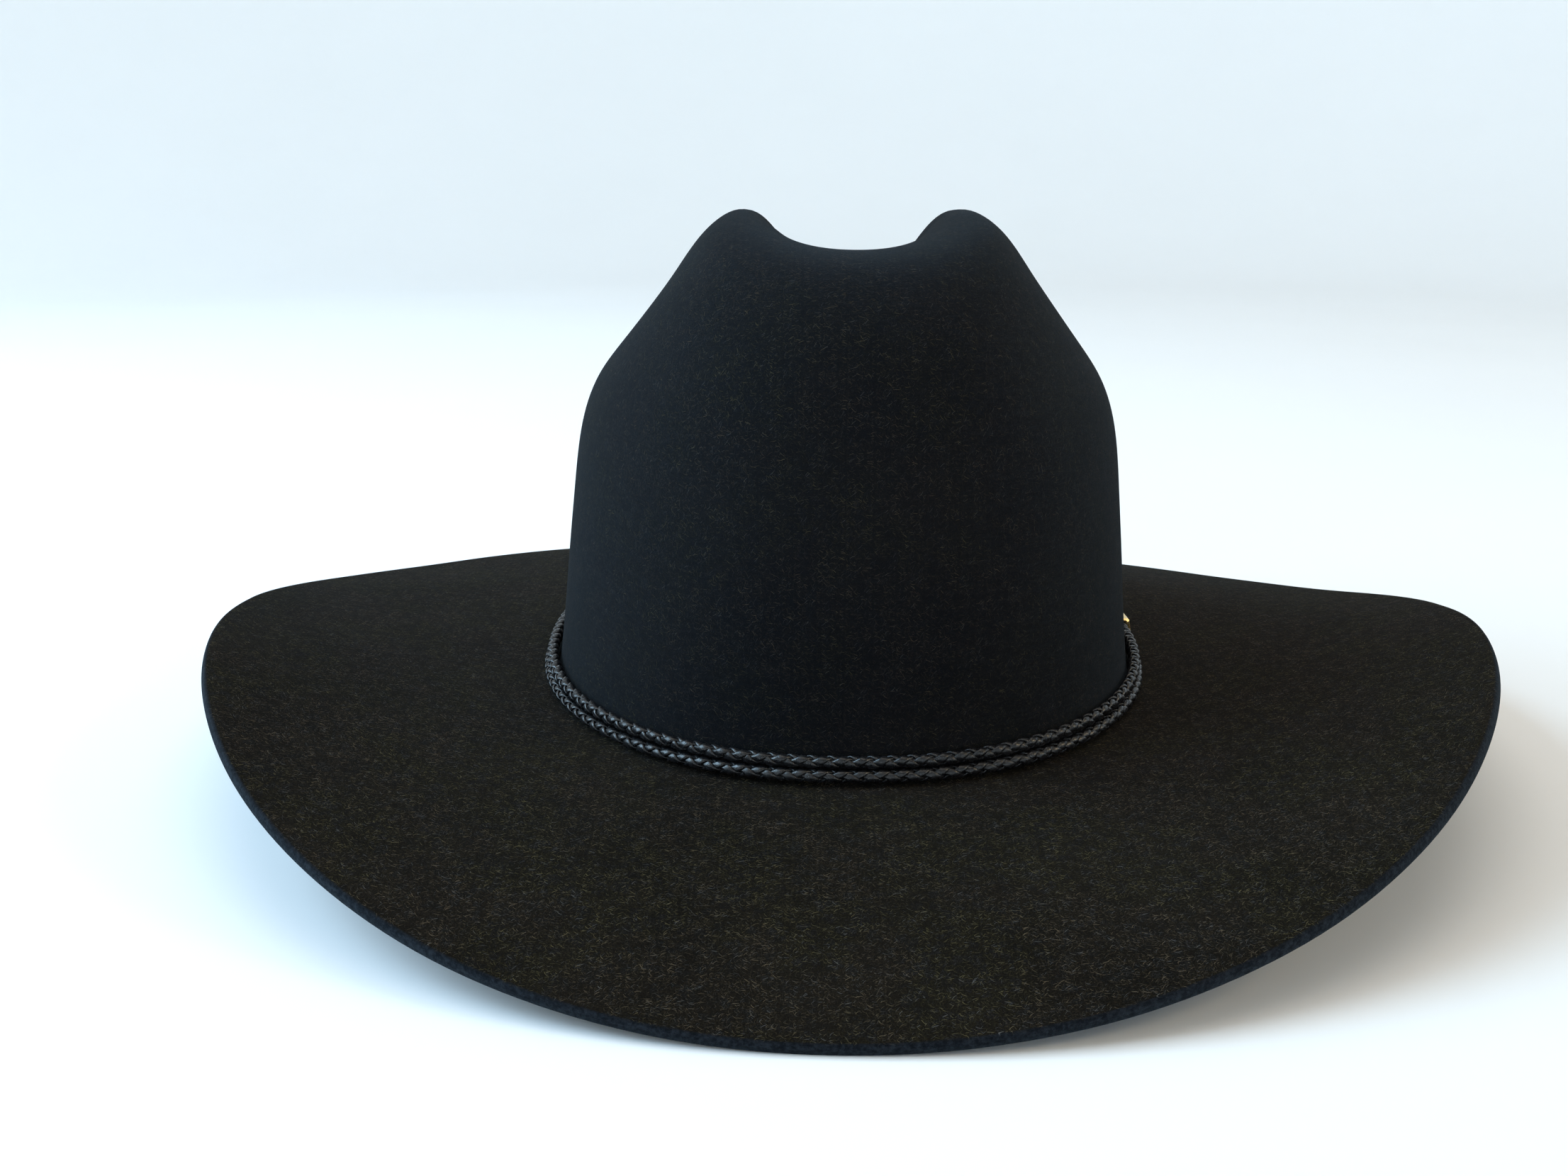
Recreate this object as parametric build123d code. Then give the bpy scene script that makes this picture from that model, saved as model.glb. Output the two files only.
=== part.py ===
from build123d import *

import math
import os

import numpy as np

# A felt western hat in millimetres: +X is the wearer's right, +Y the wearer's front, +Z up.
# The hat stands on the front and rear dips of its brim at z = 0.

# ---- driving dimensions ------------------------------------------------------------------

HEAD_HALF_WIDTH = 87.5      # outer half width of the crown at the brim break
HEAD_HALF_LENGTH = 103.5    # outer half length of the crown at the brim break
HEAD_SQUARENESS = 2.215     # exponent of the head oval, 2 is an ellipse
BREAK_HEIGHT = 20.4         # mean height of the brim break above the table
BREAK_SADDLE = -1.53        # the break is this much lower front and rear than its mean
BREAK_TILT = 0.36           # and this much higher at the rear
BREAK_RADIUS = 3.0          # fillet between crown wall and brim, on the upper side

BRIM_WIDTH = 101.4          # cut width of the brim, break to edge
BRIM_START_SHARE = 0.3      # share of the mean brim angle that the brim has at the break
BRIM_ANGLES = [0.4, 3.4, -8.8, -4.4, 0.0, 0.5]   # cosine terms of the mean brim angle, degrees
BRIM_TWIST = 1.3            # sine term of twice the angle, degrees: one corner is rolled higher

FELT_CROWN = 2.0            # felt thickness in the crown
FELT_BRIM = 2.8             # felt thickness in the brim
FELT_EDGE = 3.3             # the raw cut edge is a little swollen

# Crown outlines from the break up over the rim and down to the middle of the crease.
# Each point is (share of the head oval, height above the table); they steer a smooth curve.
CROWN_REAR = [(1, 40), (1, 60), (0.99, 85), (0.975, 108), (0.94, 126), (0.87, 139), (0.775, 148),
              (0.66, 151), (0.52, 151.5), (0.355, 147), (0.175, 137), (0.055, 131), (0, 131)]
CROWN_REAR_SIDE = [(0.985, 38), (0.965, 57), (0.935, 80), (0.905, 101), (0.855, 117.5), (0.765, 137),
                   (0.68, 147.5), (0.59, 156), (0.46, 159), (0.32, 154.5), (0.17, 141.5), (0.05, 131), (0, 131)]
CROWN_SIDE = [(0.985, 36), (0.97, 55), (0.945, 76), (0.92, 97), (0.845, 113), (0.705, 123), (0.58, 131.5),
              (0.48, 148), (0.375, 161.5), (0.265, 155), (0.15, 139), (0.055, 131), (0, 131)]
CROWN_PINCH = [(1, 35), (0.985, 54), (0.955, 73), (0.90, 92), (0.80, 108), (0.67, 122), (0.575, 134),
               (0.50, 146), (0.42, 151), (0.31, 146), (0.17, 136), (0.05, 131), (0, 131)]
CROWN_FRONT = [(1, 35), (0.99, 57), (0.975, 79), (0.95, 98), (0.91, 113), (0.85, 124), (0.77, 131),
               (0.67, 135.5), (0.54, 134.5), (0.38, 131.5), (0.20, 131), (0.06, 131), (0, 131)]
CROWN_STATIONS = [CROWN_REAR, CROWN_REAR_SIDE, CROWN_SIDE, CROWN_PINCH, CROWN_FRONT]
CROWN_LEAN = 1.4            # the crown's top leans this far to the wearer's right
CROWN_RISE = 140.0          # over this height

SWEATBAND_HEIGHT = 46.0     # leather above the break
SWEATBAND_THICK = 0.8
SWEATBAND_GAP = 1.0         # leather to felt, so the rear tape fits between
REED_RADIUS = 1.0           # plastic reed in the folded lower edge
REED_OUT, REED_UP = -2.9, -1.9   # reed centre from the break corner, out and up
REED_CLEARANCE = 0.1        # reed to leather
FOLD_UP = 8.0               # the folded edge reaches this far above the break
JOIN_GAP = 0.5              # butt join of the sweatband at the rear
TAPE_WIDTH, TAPE_HEIGHT, TAPE_THICK = 14.0, 20.0, 0.4
TAPE_LOW = 8.0              # the tape starts this far above the break

LINING_THICK = 0.4
LINING_TUCK = 0.3           # lining to felt behind the leather
LINING_GAP = 0.6            # lining to felt above the leather
LINING_LOW = 30.0           # height of the lining's lower edge above the break, behind the leather
LINING_LOW_SHARE = 0.17     # where along the crown outline the lining is clear of the leather
LINING_TOP_SHARE = 0.36     # and where the side lining ends
LINING_MIDDLE = 116.0       # height of the tip lining at its middle
PIPING_RADIUS = 1.1
PROTECTOR_SHARE = 0.62      # tip protector's size against the tip lining
PROTECTOR_THICK = 0.4

BOW_HALF, BOW_RISE, BOW_THICK, BOW_WAIST = 13.0, 4.6, 1.4, 1.5

CORD_RADIUS = 1.75          # each of the two braided leather cords
UPPER_OUT, UPPER_UP = 2.2, 6.3   # upper cord's centre from the break corner
LOWER_OUT, LOWER_UP = 3.1, 2.75  # lower cord's centre
BUCKLE_ANGLE = 118.0        # where the buckle's hinge bar sits, from the rear round the right side
REAR_CAP_AT, FRONT_CAP_AT = -40.0, 44.0   # inner ends of the two cord caps along the band
CAP_LENGTH, CAP_CORD_DEPTH = 9.0, 6.0
CORD_CLEARANCE = 0.12       # bore to cord
STRAP_HALF, STRAP_UP = 3.4, 6.6  # straps' half height, and their middle above the break
STRAP_INNER, STRAP_OUTER = 0.95, 3.8   # faces of the folded strap, out from the crown
STRAP_NOSE = 1.9            # the folded strap's end beyond the hinge bar
BILLET_THICK = 1.3
BILLET_TIP = -24.0
# The billet's inner face, as (length along the band, distance out): it dips under the far bar.
BILLET_PATH = [(BILLET_TIP, 4.1), (-12, 4.1), (-3, 4.1), (3, 3.95), (8, 2.6), (13, 1.5), (20, 1.1),
               (FRONT_CAP_AT - 0.1, 1.1)]
SLOT_AT, SLOT_LENGTH, SLOT_WIDTH = 1.8, 11.2, 2.2   # the billet's slot, which the prong swings through
BAR_RADIUS = 0.8            # brass wire of the buckle
BAR_OUT = 2.35              # hinge bar's distance from the crown wall
BUCKLE_LENGTH, BUCKLE_HALF = 12.0, 4.6
FAR_BAR_OUT = 5.2           # far bar stands over the billet
PRONG_RADIUS = 0.6
PRONG_CLEARANCE = 0.06
KEEPER_AT, KEEPER_WIDTH, KEEPER_WALL = -13.0, 4.0, 0.5
KEEPER_INNER = 0.7          # the keeper's hollow starts this far out from the crown
KEEPER_CLEARANCE = 0.35      # over the billet
KEEPER_EDGE = 0.2           # above and below it

STEPS = 40                  # points round each ring
BRIM_RINGS, CROWN_RINGS = 8, 24
FINE = 720                  # points round the oval when lengths are measured


# ---- the head oval and the brim ------------------------------------------------------------

def power(value, exponent):
    return np.sign(value) * np.abs(value) ** exponent


def oval(angle):
    """The head oval at an angle from the rear, turning over the wearer's right."""
    share = 2 / HEAD_SQUARENESS
    return np.stack([HEAD_HALF_WIDTH * power(np.sin(angle), share),
                     -HEAD_HALF_LENGTH * power(np.cos(angle), share)], -1)


def oval_normal(angle):
    """Outward plan normal of the oval, from its implicit form."""
    point = oval(angle)
    n = HEAD_SQUARENESS
    slope = np.stack([power(point[..., 0] / HEAD_HALF_WIDTH, n - 1) / HEAD_HALF_WIDTH,
                      power(point[..., 1] / HEAD_HALF_LENGTH, n - 1) / HEAD_HALF_LENGTH], -1)
    return slope / np.linalg.norm(slope, axis=-1, keepdims=True)


def break_height(angle):
    return BREAK_HEIGHT + BREAK_SADDLE * np.cos(2 * angle) + BREAK_TILT * np.cos(angle)


def brim_angle(angle):
    """Mean slope of the brim, in radians, up towards the edge."""
    degrees = sum(a * np.cos(k * angle) for k, a in enumerate(BRIM_ANGLES))
    return np.radians(degrees + BRIM_TWIST * np.sin(2 * angle))


def even_angles(count):
    """Angles at even arc lengths round the oval, so that rings are evenly divided."""
    fine = np.linspace(0, 2 * math.pi, FINE + 1)
    length = np.concatenate([[0], np.cumsum(np.linalg.norm(np.diff(oval(fine), axis=0), axis=1))])
    return np.interp(np.arange(count) / count * length[-1], length, fine), length, fine


ANGLES, ARC, FINE_ANGLES = even_angles(STEPS)


def ring(angle, out, up):
    """Points at a distance out from the break corner and up from it, round the hat."""
    flat = oval(angle) + oval_normal(angle) * np.asarray(out)[..., None]
    return np.concatenate([flat, (break_height(angle) + up)[..., None]], -1)


def brim_ring(angle, along):
    """Upper side of the brim at a length along from the break."""
    steps = np.linspace(0, along, 25)[:, None]
    slope = brim_angle(angle) * (BRIM_START_SHARE + 2 * (1 - BRIM_START_SHARE) * steps / BRIM_WIDTH)
    out = np.trapezoid(np.cos(slope), steps, axis=0)
    up = np.trapezoid(np.sin(slope), steps, axis=0)
    return ring(angle, out, up)


# ---- the crown -----------------------------------------------------------------------------

def smooth(points, t):
    """A clamped cubic B-spline over control points, at t from 0 to 1."""
    count = len(points)
    knots = np.concatenate([[0, 0, 0], np.linspace(0, 1, count - 2), [1, 1, 1]])
    t = np.clip(np.atleast_1d(t), 0, 1 - 1e-9)[:, None]
    basis = ((t >= knots[:-1]) & (t < knots[1:])).astype(float)
    for degree in (1, 2, 3):
        left, right = knots[:-degree - 1], knots[degree + 1:]
        rise = np.divide(t - left[:], knots[degree:-1] - left, where=knots[degree:-1] > left,
                         out=np.zeros((len(t), len(left))))
        fall = np.divide(right - t, right - knots[1:-degree], where=right > knots[1:-degree],
                         out=np.zeros((len(t), len(left))))
        basis = rise * basis[:, :-1] + fall * basis[:, 1:]
    return basis @ np.asarray(points, float)


def crown_ring(angle, t):
    """The crown's outer surface at t, from 0 at the top of the break fillet to 1 in the crease."""
    stations = np.arange(len(CROWN_STATIONS))
    table = np.cos(np.outer(stations, stations) * math.pi / 4)
    weights = np.cos(np.outer(angle, stations)) @ np.linalg.inv(table)
    curves = np.array([smooth([(1, BREAK_HEIGHT + BREAK_RADIUS)] + s, t)[0] for s in CROWN_STATIONS])
    share, height = (weights @ curves).T
    settle = (1 - t) ** 6 * (break_height(angle) - BREAK_HEIGHT)
    flat = oval(angle) * share[:, None]
    lean = CROWN_LEAN * np.maximum(height - BREAK_HEIGHT - BREAK_RADIUS, 0) / CROWN_RISE
    return np.stack([flat[:, 0] + lean, flat[:, 1], height + settle], -1)


def felt_rings(angle):
    """Rings of the felt's outer side, from the brim's edge in to the middle of the crease."""
    rings = [brim_ring(angle, s) for s in np.linspace(BRIM_WIDTH, BREAK_RADIUS + 2, BRIM_RINGS)]
    for turn in np.radians([90, 60, 30]):
        out = BREAK_RADIUS * (1 - math.cos(turn))
        rings.append(ring(angle, np.full(len(angle), out), BREAK_RADIUS * (1 - math.sin(turn))))
    share = np.linspace(0, 1, CROWN_RINGS) ** 0.95
    rings += [crown_ring(angle, t) for t in share[:-1]]
    return np.array(rings)


def offset_inward(rings, depth):
    """Moves a grid of rings off its own surface, to the inner side."""
    along = np.gradient(rings, axis=0)
    around = (np.roll(rings, -1, axis=1) - np.roll(rings, 1, axis=1)) / 2
    normal = np.cross(along, around)
    normal /= np.linalg.norm(normal, axis=-1, keepdims=True)
    return rings + normal * np.reshape(depth, (-1, 1, 1))


OUTER = felt_rings(ANGLES)
THICKNESS = np.full(len(OUTER), FELT_CROWN)
THICKNESS[:BRIM_RINGS] = np.linspace(FELT_EDGE, FELT_BRIM, BRIM_RINGS)
THICKNESS[BRIM_RINGS:BRIM_RINGS + 4] = np.linspace(FELT_BRIM, FELT_CROWN, 5)[:4]
INNER = offset_inward(OUTER, THICKNESS)
MIDDLE = crown_ring(np.array([0.0]), 1.0)[0]

# The frame's origin is under the middle of the hat's box, on the table.
BOX_LOW = np.minimum(OUTER.min((0, 1)), INNER.min((0, 1)))
BOX_HIGH = np.maximum(OUTER.max((0, 1)), INNER.max((0, 1)))
ORIGIN = np.array([(BOX_LOW[0] + BOX_HIGH[0]) / 2, (BOX_LOW[1] + BOX_HIGH[1]) / 2, BOX_LOW[2]])


def place(points):
    return np.asarray(points, float) - ORIGIN


# ---- solids --------------------------------------------------------------------------------

def closed_wire(points):
    even = [k / len(points) for k in range(len(points) + 1)]
    corners = [Vector(*p) for p in place(points)]
    return Wire([Edge.make_spline(corners, periodic=True, parameters=even)])


def skin_solid(rings, first=None, last=None):
    """A solid whose skin runs through rings, closed by an end point at each end."""
    sections = [closed_wire(r) for r in rings]
    if first is not None:
        sections = [Vertex(*place(first))] + sections
    if last is not None:
        sections = sections + [Vertex(*place(last))]
    return Solid.make_loft(sections, ruled=True)


def loop_solid(rings):
    """A ring-shaped solid: its section's corners are rings round the hat."""
    wires = [closed_wire(r) for r in rings]
    faces = []
    for a, b in zip(wires, wires[1:] + wires[:1]):
        faces += Shell.make_loft([a, b], ruled=True).faces()
    solid = Solid(Shell(faces))
    return solid if solid.volume > 0 else -solid


def wall_points(angle, up, inset):
    """Points inside the crown wall, at a height above the break and a depth from the felt's outside."""
    points = ring(angle, np.zeros(len(angle)), up)
    if up > BREAK_RADIUS:
        walls = np.array([crown_ring(angle, t) for t in np.linspace(0, 0.45, 90)])
        for i in range(len(angle)):
            points[i, :2] = [np.interp(points[i, 2], walls[:, i, 2], walls[:, i, k]) for k in (0, 1)]
    points[:, :2] -= oval_normal(angle) * inset
    return points


def wall_ring(up, inset):
    return wall_points(ANGLES, up, inset)


def tube_ring(centre, radius, sides=12):
    """A round ring of wire along a ring of centre points."""
    out = oval_normal(ANGLES)
    rings = []
    for turn in np.arange(sides) / sides * 2 * math.pi:
        side = np.concatenate([out * math.cos(turn), np.full((STEPS, 1), math.sin(turn))], -1)
        rings.append(centre + radius * side)
    return loop_solid(rings)


def band_angle(along):
    """Angle at a length along the band from the buckle's hinge bar, towards the front."""
    start = np.interp(math.radians(BUCKLE_ANGLE), FINE_ANGLES, ARC)
    return np.interp((start + along) % ARC[-1], ARC, FINE_ANGLES)


def band_point(along, out, up, ahead=0.0):
    """A point off the band's line: out from the crown, up, and straight ahead towards the front."""
    angle = np.array([band_angle(along)])
    normal = oval_normal(angle)[0]
    point = place(ring(angle, np.array([out]), up)[0])
    return Vector(*point) + Vector(-normal[1], normal[0], 0) * ahead


def band_plane(along, out=0.0, up=0.0):
    """A plane across the band: X points out from the crown and Y up."""
    normal = oval_normal(np.array([band_angle(along)]))[0]
    return Plane(origin=band_point(along, out, up), x_dir=Vector(normal[0], normal[1], 0),
                 z_dir=Vector(normal[1], -normal[0], 0))


def band_solid(stations, outline):
    """A curved strap: outline(along) gives its section as (out, up) corners."""
    sections = []
    for along in stations:
        corners = [band_point(along, out, up) for out, up in outline(along)]
        sections.append(Wire.make_polygon(corners, close=True))
    return Solid.make_loft(sections, ruled=True)


def band_cord(out, up, radius, start, end, count):
    sections = []
    for along in np.linspace(start, end, count):
        circle = Wire.make_circle(radius, band_plane(along, out, up))
        sections.append(circle)
    return Solid.make_loft(sections, ruled=True)


def rod(start, end, radius):
    start, end = Vector(*start), Vector(*end)
    axis = end - start
    return Solid.make_cylinder(radius, axis.length, Plane(origin=start, z_dir=axis.normalized()))


# ---- felt and inside -----------------------------------------------------------------------

def felt_body():
    rings = list(OUTER[::-1]) + list(INNER)
    inner_middle = MIDDLE - [0, 0, FELT_CROWN]
    return skin_solid(rings, MIDDLE, inner_middle)


def sweatband():
    """A leather strip whose lower edge is folded round the reed, butt-joined at the rear."""
    gap, thick = FELT_CROWN + SWEATBAND_GAP, SWEATBAND_THICK
    hook = REED_RADIUS + REED_CLEARANCE
    heights = [SWEATBAND_HEIGHT, 32, 18, FOLD_UP]
    rings = [wall_ring(h, gap) for h in heights]
    turns = np.radians(np.arange(180, 361, 36))
    for radius, order in ((hook, turns), (hook + thick, turns[::-1])):
        for turn in order:
            out = REED_OUT + radius * math.cos(turn)
            rings.append(ring(ANGLES, np.full(STEPS, out), REED_UP + radius * math.sin(turn)))
    rings += [wall_ring(h, gap + thick) for h in reversed(heights)]
    band = loop_solid(rings)
    cutter = Box(JOIN_GAP, 30, 90)
    rear = Pos(*place([0, -HEAD_HALF_LENGTH, BREAK_HEIGHT + 20])) * cutter
    return band - rear


def sweatband_reed():
    centre = ring(ANGLES, np.full(STEPS, REED_OUT), REED_UP)
    reed = tube_ring(centre, REED_RADIUS)
    rear = Pos(*place([0, -HEAD_HALF_LENGTH, BREAK_HEIGHT])) * Box(JOIN_GAP, 30, 20)
    return reed - rear


def head_side(along, up, lift):
    """A point just off the leather on the head's side, at a length along from the rear."""
    angle = np.array([np.interp(along % ARC[-1], ARC, FINE_ANGLES)])
    inset = FELT_CROWN + SWEATBAND_GAP + SWEATBAND_THICK
    point = wall_points(angle, max(up, FOLD_UP), inset)
    if up < FOLD_UP:
        fold = REED_OUT - REED_RADIUS - REED_CLEARANCE - SWEATBAND_THICK
        low = ring(angle, np.array([fold]), REED_UP)
        point = low + (point - low) * (up - REED_UP) / (FOLD_UP - REED_UP)
    point[:, :2] -= oval_normal(angle) * lift
    return place(point[0])


def sweatband_stitches(count=92, length=3.4, up=2.2, radius=0.3):
    """The running stitch that holds the sweatband to the felt, above the reed."""
    stitches = []
    for k in range(count):
        middle = (k + 0.5) * ARC[-1] / count
        ends = [head_side(middle + s * length / 2, up, radius + 0.08) for s in (-1, 1)]
        stitches.append(rod(*ends, radius))
    return stitches


def sweatband_join_stitches(count=8, low=6.0, pitch=4.6, reach=2.6, radius=0.25):
    """Zigzag stitches across the butt join at the rear."""
    stitches = []
    for k in range(count):
        up = low + k * pitch
        left = head_side(-reach, up, radius + 0.1)
        right = head_side(reach, up + pitch / 2, radius + 0.1)
        stitches.append(rod(left, right, radius))
    return stitches


def sweatband_tape():
    """A cloth tape behind the join, between leather and felt."""
    inset = FELT_CROWN + (SWEATBAND_GAP - TAPE_THICK) / 2
    corners = [(0, 0), (TAPE_THICK, 0), (TAPE_THICK, TAPE_HEIGHT), (0, TAPE_HEIGHT)]
    sections = []
    for along in np.linspace(-TAPE_WIDTH / 2, TAPE_WIDTH / 2, 7):
        angle = np.array([np.interp(along % ARC[-1], ARC, FINE_ANGLES)])
        points = [place(wall_points(angle, TAPE_LOW + up, inset + depth)[0]) for depth, up in corners]
        sections.append(Wire.make_polygon([Vector(*p) for p in points], close=True))
    return Solid.make_loft(sections, ruled=True)


def bow_plane(up=14.0, lift=1.6):
    point = head_side(0, up, lift)
    return Plane(origin=Vector(*point), x_dir=(1, 0, 0), z_dir=(0, 1, 0))


def bow_ribbon():
    """The ribbon folded into two loops, narrow at the knot."""
    half = [(0, BOW_WAIST), (3.5, 2.4), (9.0, BOW_RISE), (BOW_HALF, 3.6)]
    top = half + [(x, -y) for x, y in reversed(half)]
    outline = [(-x, y) for x, y in reversed(half[1:])] + top[:-1]
    outline += [(0, -BOW_WAIST)] + [(-x, -y) for x, y in half[1:]]
    face = Face(Wire.make_polygon([Vector(x, y, 0) for x, y in outline], close=True))
    solid = Solid.extrude(face, Vector(0, 0, BOW_THICK))
    return bow_plane().location * solid


def bow_knot():
    """The ribbon's wrap round the middle of the bow."""
    outer = Box(4.4, 2 * BOW_WAIST + 3.0, BOW_THICK + 1.2)
    shell = Pos(0, 0, BOW_THICK / 2) * fillet(outer.edges(), 0.4)
    hollow = Pos(0, 0, BOW_THICK / 2) * Box(6, 2 * 2.75, BOW_THICK + 0.1)
    return bow_plane().location * (shell - hollow)


def lining_layer(depth):
    """One face of the side lining: it starts behind the leather and follows the felt up."""
    behind = [wall_ring(up, depth + LINING_TUCK) for up in (LINING_LOW, SWEATBAND_HEIGHT - 6)]
    shares = np.append(np.linspace(LINING_LOW_SHARE, LINING_TOP_SHARE, 6), LINING_TOP_SHARE + 0.02)
    crown = np.array([crown_ring(ANGLES, t) for t in shares])
    crown = offset_inward(crown, np.full(len(crown), depth + LINING_GAP))
    return behind + list(crown[:-1])


LINING_IN = lining_layer(FELT_CROWN + LINING_THICK)


def lining_side():
    return loop_solid(lining_layer(FELT_CROWN) + LINING_IN[::-1])


def tip_ring(share, drop):
    """A ring of the tip lining: share 1 is the seam, 0 the middle."""
    seam = LINING_IN[-1] - [0, 0, 0.5]
    centre = np.array([0.0, 0.0, LINING_MIDDLE])
    flat = centre[:2] + (seam[:, :2] - centre[:2]) * share * 0.985
    rise = 1 - share ** 2
    height = seam[:, 2] * (1 - rise) + LINING_MIDDLE * rise
    return np.concatenate([flat, (height - drop)[:, None]], -1)


def oval_plate(shares, drop, thick):
    top = [tip_ring(s, drop) for s in shares]
    low = [tip_ring(s, drop + thick) for s in reversed(shares)]
    middle = [0, 0, LINING_MIDDLE - drop]
    return skin_solid(top + low, middle, [0, 0, LINING_MIDDLE - drop - thick])


def lining_tip():
    return oval_plate([0.15, 0.35, 0.55, 0.75, 0.9, 1.0], 0.0, LINING_THICK)


def tip_protector():
    shares = [PROTECTOR_SHARE * s for s in (0.2, 0.5, 0.8, 1.0)]
    return oval_plate(shares, LINING_THICK + 0.3, PROTECTOR_THICK)


def lining_piping():
    """Piping sewn into the seam between side and tip."""
    centre = tip_ring(1.0, LINING_THICK + PIPING_RADIUS + 0.5)
    centre[:, :2] -= oval_normal(ANGLES) * (PIPING_RADIUS + 0.3)
    return tube_ring(centre, PIPING_RADIUS, 10)


# ---- hatband -------------------------------------------------------------------------------

CORDS = {"upper": (UPPER_OUT, UPPER_UP), "lower": (LOWER_OUT, LOWER_UP)}
CORD_START = FRONT_CAP_AT + CAP_LENGTH - CAP_CORD_DEPTH
CORD_END = ARC[-1] + REAR_CAP_AT - CAP_LENGTH + CAP_CORD_DEPTH


def hatband_cord(which):
    out, up = CORDS[which]
    return band_cord(out, up, CORD_RADIUS, CORD_START, CORD_END, 90)


def cord_cap(low_end, high_end, cord_from, cord_to):
    """A cast brass cap that holds the ends of both cords."""
    def outline(along):
        ends = min(along - low_end, high_end - along)
        trim = 0.5 if ends < 0.4 else 0.0
        return [(0.5 + trim, 8.9 - trim), (0.5 + trim, 3.1), (1.3 + trim, 1.3 + trim), (2.6, 0.45 + trim),
                (5.2, 0.45 + trim), (5.6 - trim, 1.0 + trim), (5.6 - trim, 3.4), (4.7 - trim, 8.3 - trim),
                (4.0 - trim, 8.9 - trim)]
    middle = np.linspace(low_end + 0.5, high_end - 0.5, 4)
    cap = band_solid([low_end, *middle, high_end], outline)
    for out, up in CORDS.values():
        cap = cap - band_cord(out, up, CORD_RADIUS + CORD_CLEARANCE, cord_from, cord_to, 8)
    return cap


def cap_front():
    return cord_cap(FRONT_CAP_AT, FRONT_CAP_AT + CAP_LENGTH, CORD_START, FRONT_CAP_AT + CAP_LENGTH + 4)


def cap_rear():
    low = REAR_CAP_AT - CAP_LENGTH
    return cord_cap(low, REAR_CAP_AT, low - 4, low + CAP_CORD_DEPTH)


def strap_outline(inner, outer, half=STRAP_HALF):
    return lambda along: [(inner(along), STRAP_UP - half), (outer(along), STRAP_UP - half),
                          (outer(along), STRAP_UP + half), (inner(along), STRAP_UP + half)]


def local_box(along, size, out, up=STRAP_UP):
    """A box across the band: size is (out, up, along)."""
    return band_plane(along, out, up).location * Box(*size)


def hinge_bar_line(up):
    return band_point(0, BAR_OUT, STRAP_UP + up)


def buckle_strap():
    """The short leather end folded round the hinge bar, with a slot for the prong."""
    stations = np.linspace(REAR_CAP_AT + 0.1, STRAP_NOSE, 9)
    strap = band_solid(stations, strap_outline(lambda s: STRAP_INNER, lambda s: STRAP_OUTER))
    bar = Solid.make_cylinder(BAR_RADIUS + 0.05, 14, Plane(origin=hinge_bar_line(-7), z_dir=(0, 0, 1)))
    slot = local_box(1.0, (8, 2.6, 7.0), BAR_OUT)
    return strap - bar - slot


def billet_inner(along):
    return float(np.interp(along, *zip(*BILLET_PATH)))


def billet():
    """The leather end with the holes, from the front cap through the buckle and the keeper."""
    stations = sorted({s for s, _ in BILLET_PATH} | {-18.0, -7.5, 26.0, 32.0, 38.0} | {BILLET_TIP + 2.5})

    def outline(along):
        half = STRAP_HALF - (1.6 if along < BILLET_TIP + 1 else 0)
        low = billet_inner(along)
        return strap_outline(lambda s: low, lambda s: low + BILLET_THICK, half)(along)

    strap = band_solid(stations, outline)
    strap = strap - local_box(SLOT_AT, (9, SLOT_WIDTH, SLOT_LENGTH), 3.4)
    for hole in (-8.0, -18.5):
        plane = band_plane(hole, 3.0, STRAP_UP)
        drill = Solid.make_cylinder(1.0, 5, Plane(origin=plane.origin, z_dir=plane.x_dir))
        strap = strap - drill
    return strap


def buckle_frame():
    """A brass wire frame: the hinge bar runs inside the strap, the far bar over the billet."""
    corners = [band_point(0, BAR_OUT, STRAP_UP - BUCKLE_HALF),
               band_point(0, FAR_BAR_OUT, STRAP_UP - BUCKLE_HALF, BUCKLE_LENGTH),
               band_point(0, FAR_BAR_OUT, STRAP_UP + BUCKLE_HALF, BUCKLE_LENGTH),
               band_point(0, BAR_OUT, STRAP_UP + BUCKLE_HALF)]
    frame = None
    for a, b in zip(corners, corners[1:] + corners[:1]):
        side = rod(a, b, BAR_RADIUS)
        knob = Pos(*a) * Sphere(BAR_RADIUS)
        frame = side + knob if frame is None else frame + side + knob
    return frame


def prong_end():
    return band_point(0, FAR_BAR_OUT + BAR_RADIUS + PRONG_RADIUS + 0.4, STRAP_UP, BUCKLE_LENGTH + 0.6)


def buckle_prong():
    """The prong turns on the hinge bar and rests on the far bar."""
    centre = hinge_bar_line(0)
    ring_outer = BAR_RADIUS + PRONG_CLEARANCE + 0.65
    end = prong_end()
    loop = Solid.make_cylinder(ring_outer, 1.8, Plane(origin=centre - Vector(0, 0, 0.9), z_dir=(0, 0, 1)))
    pin = rod(centre, end, PRONG_RADIUS) + Pos(*end) * Sphere(PRONG_RADIUS)
    bore = Solid.make_cylinder(BAR_RADIUS + PRONG_CLEARANCE, 6,
                               Plane(origin=centre - Vector(0, 0, 3), z_dir=(0, 0, 1)))
    return loop + pin - bore


def band_keeper():
    """A loop of leather round strap and billet."""
    reach = billet_inner(KEEPER_AT) + BILLET_THICK + KEEPER_CLEARANCE - KEEPER_INNER
    tall = 2 * (STRAP_HALF + KEEPER_EDGE)
    middle = KEEPER_INNER + reach / 2
    outer = local_box(KEEPER_AT, (reach + 2 * KEEPER_WALL, tall + 2 * KEEPER_WALL, KEEPER_WIDTH), middle)
    return outer - local_box(KEEPER_AT, (reach, tall, KEEPER_WIDTH + 2), middle)


# ---- parts ---------------------------------------------------------------------------------

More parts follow.
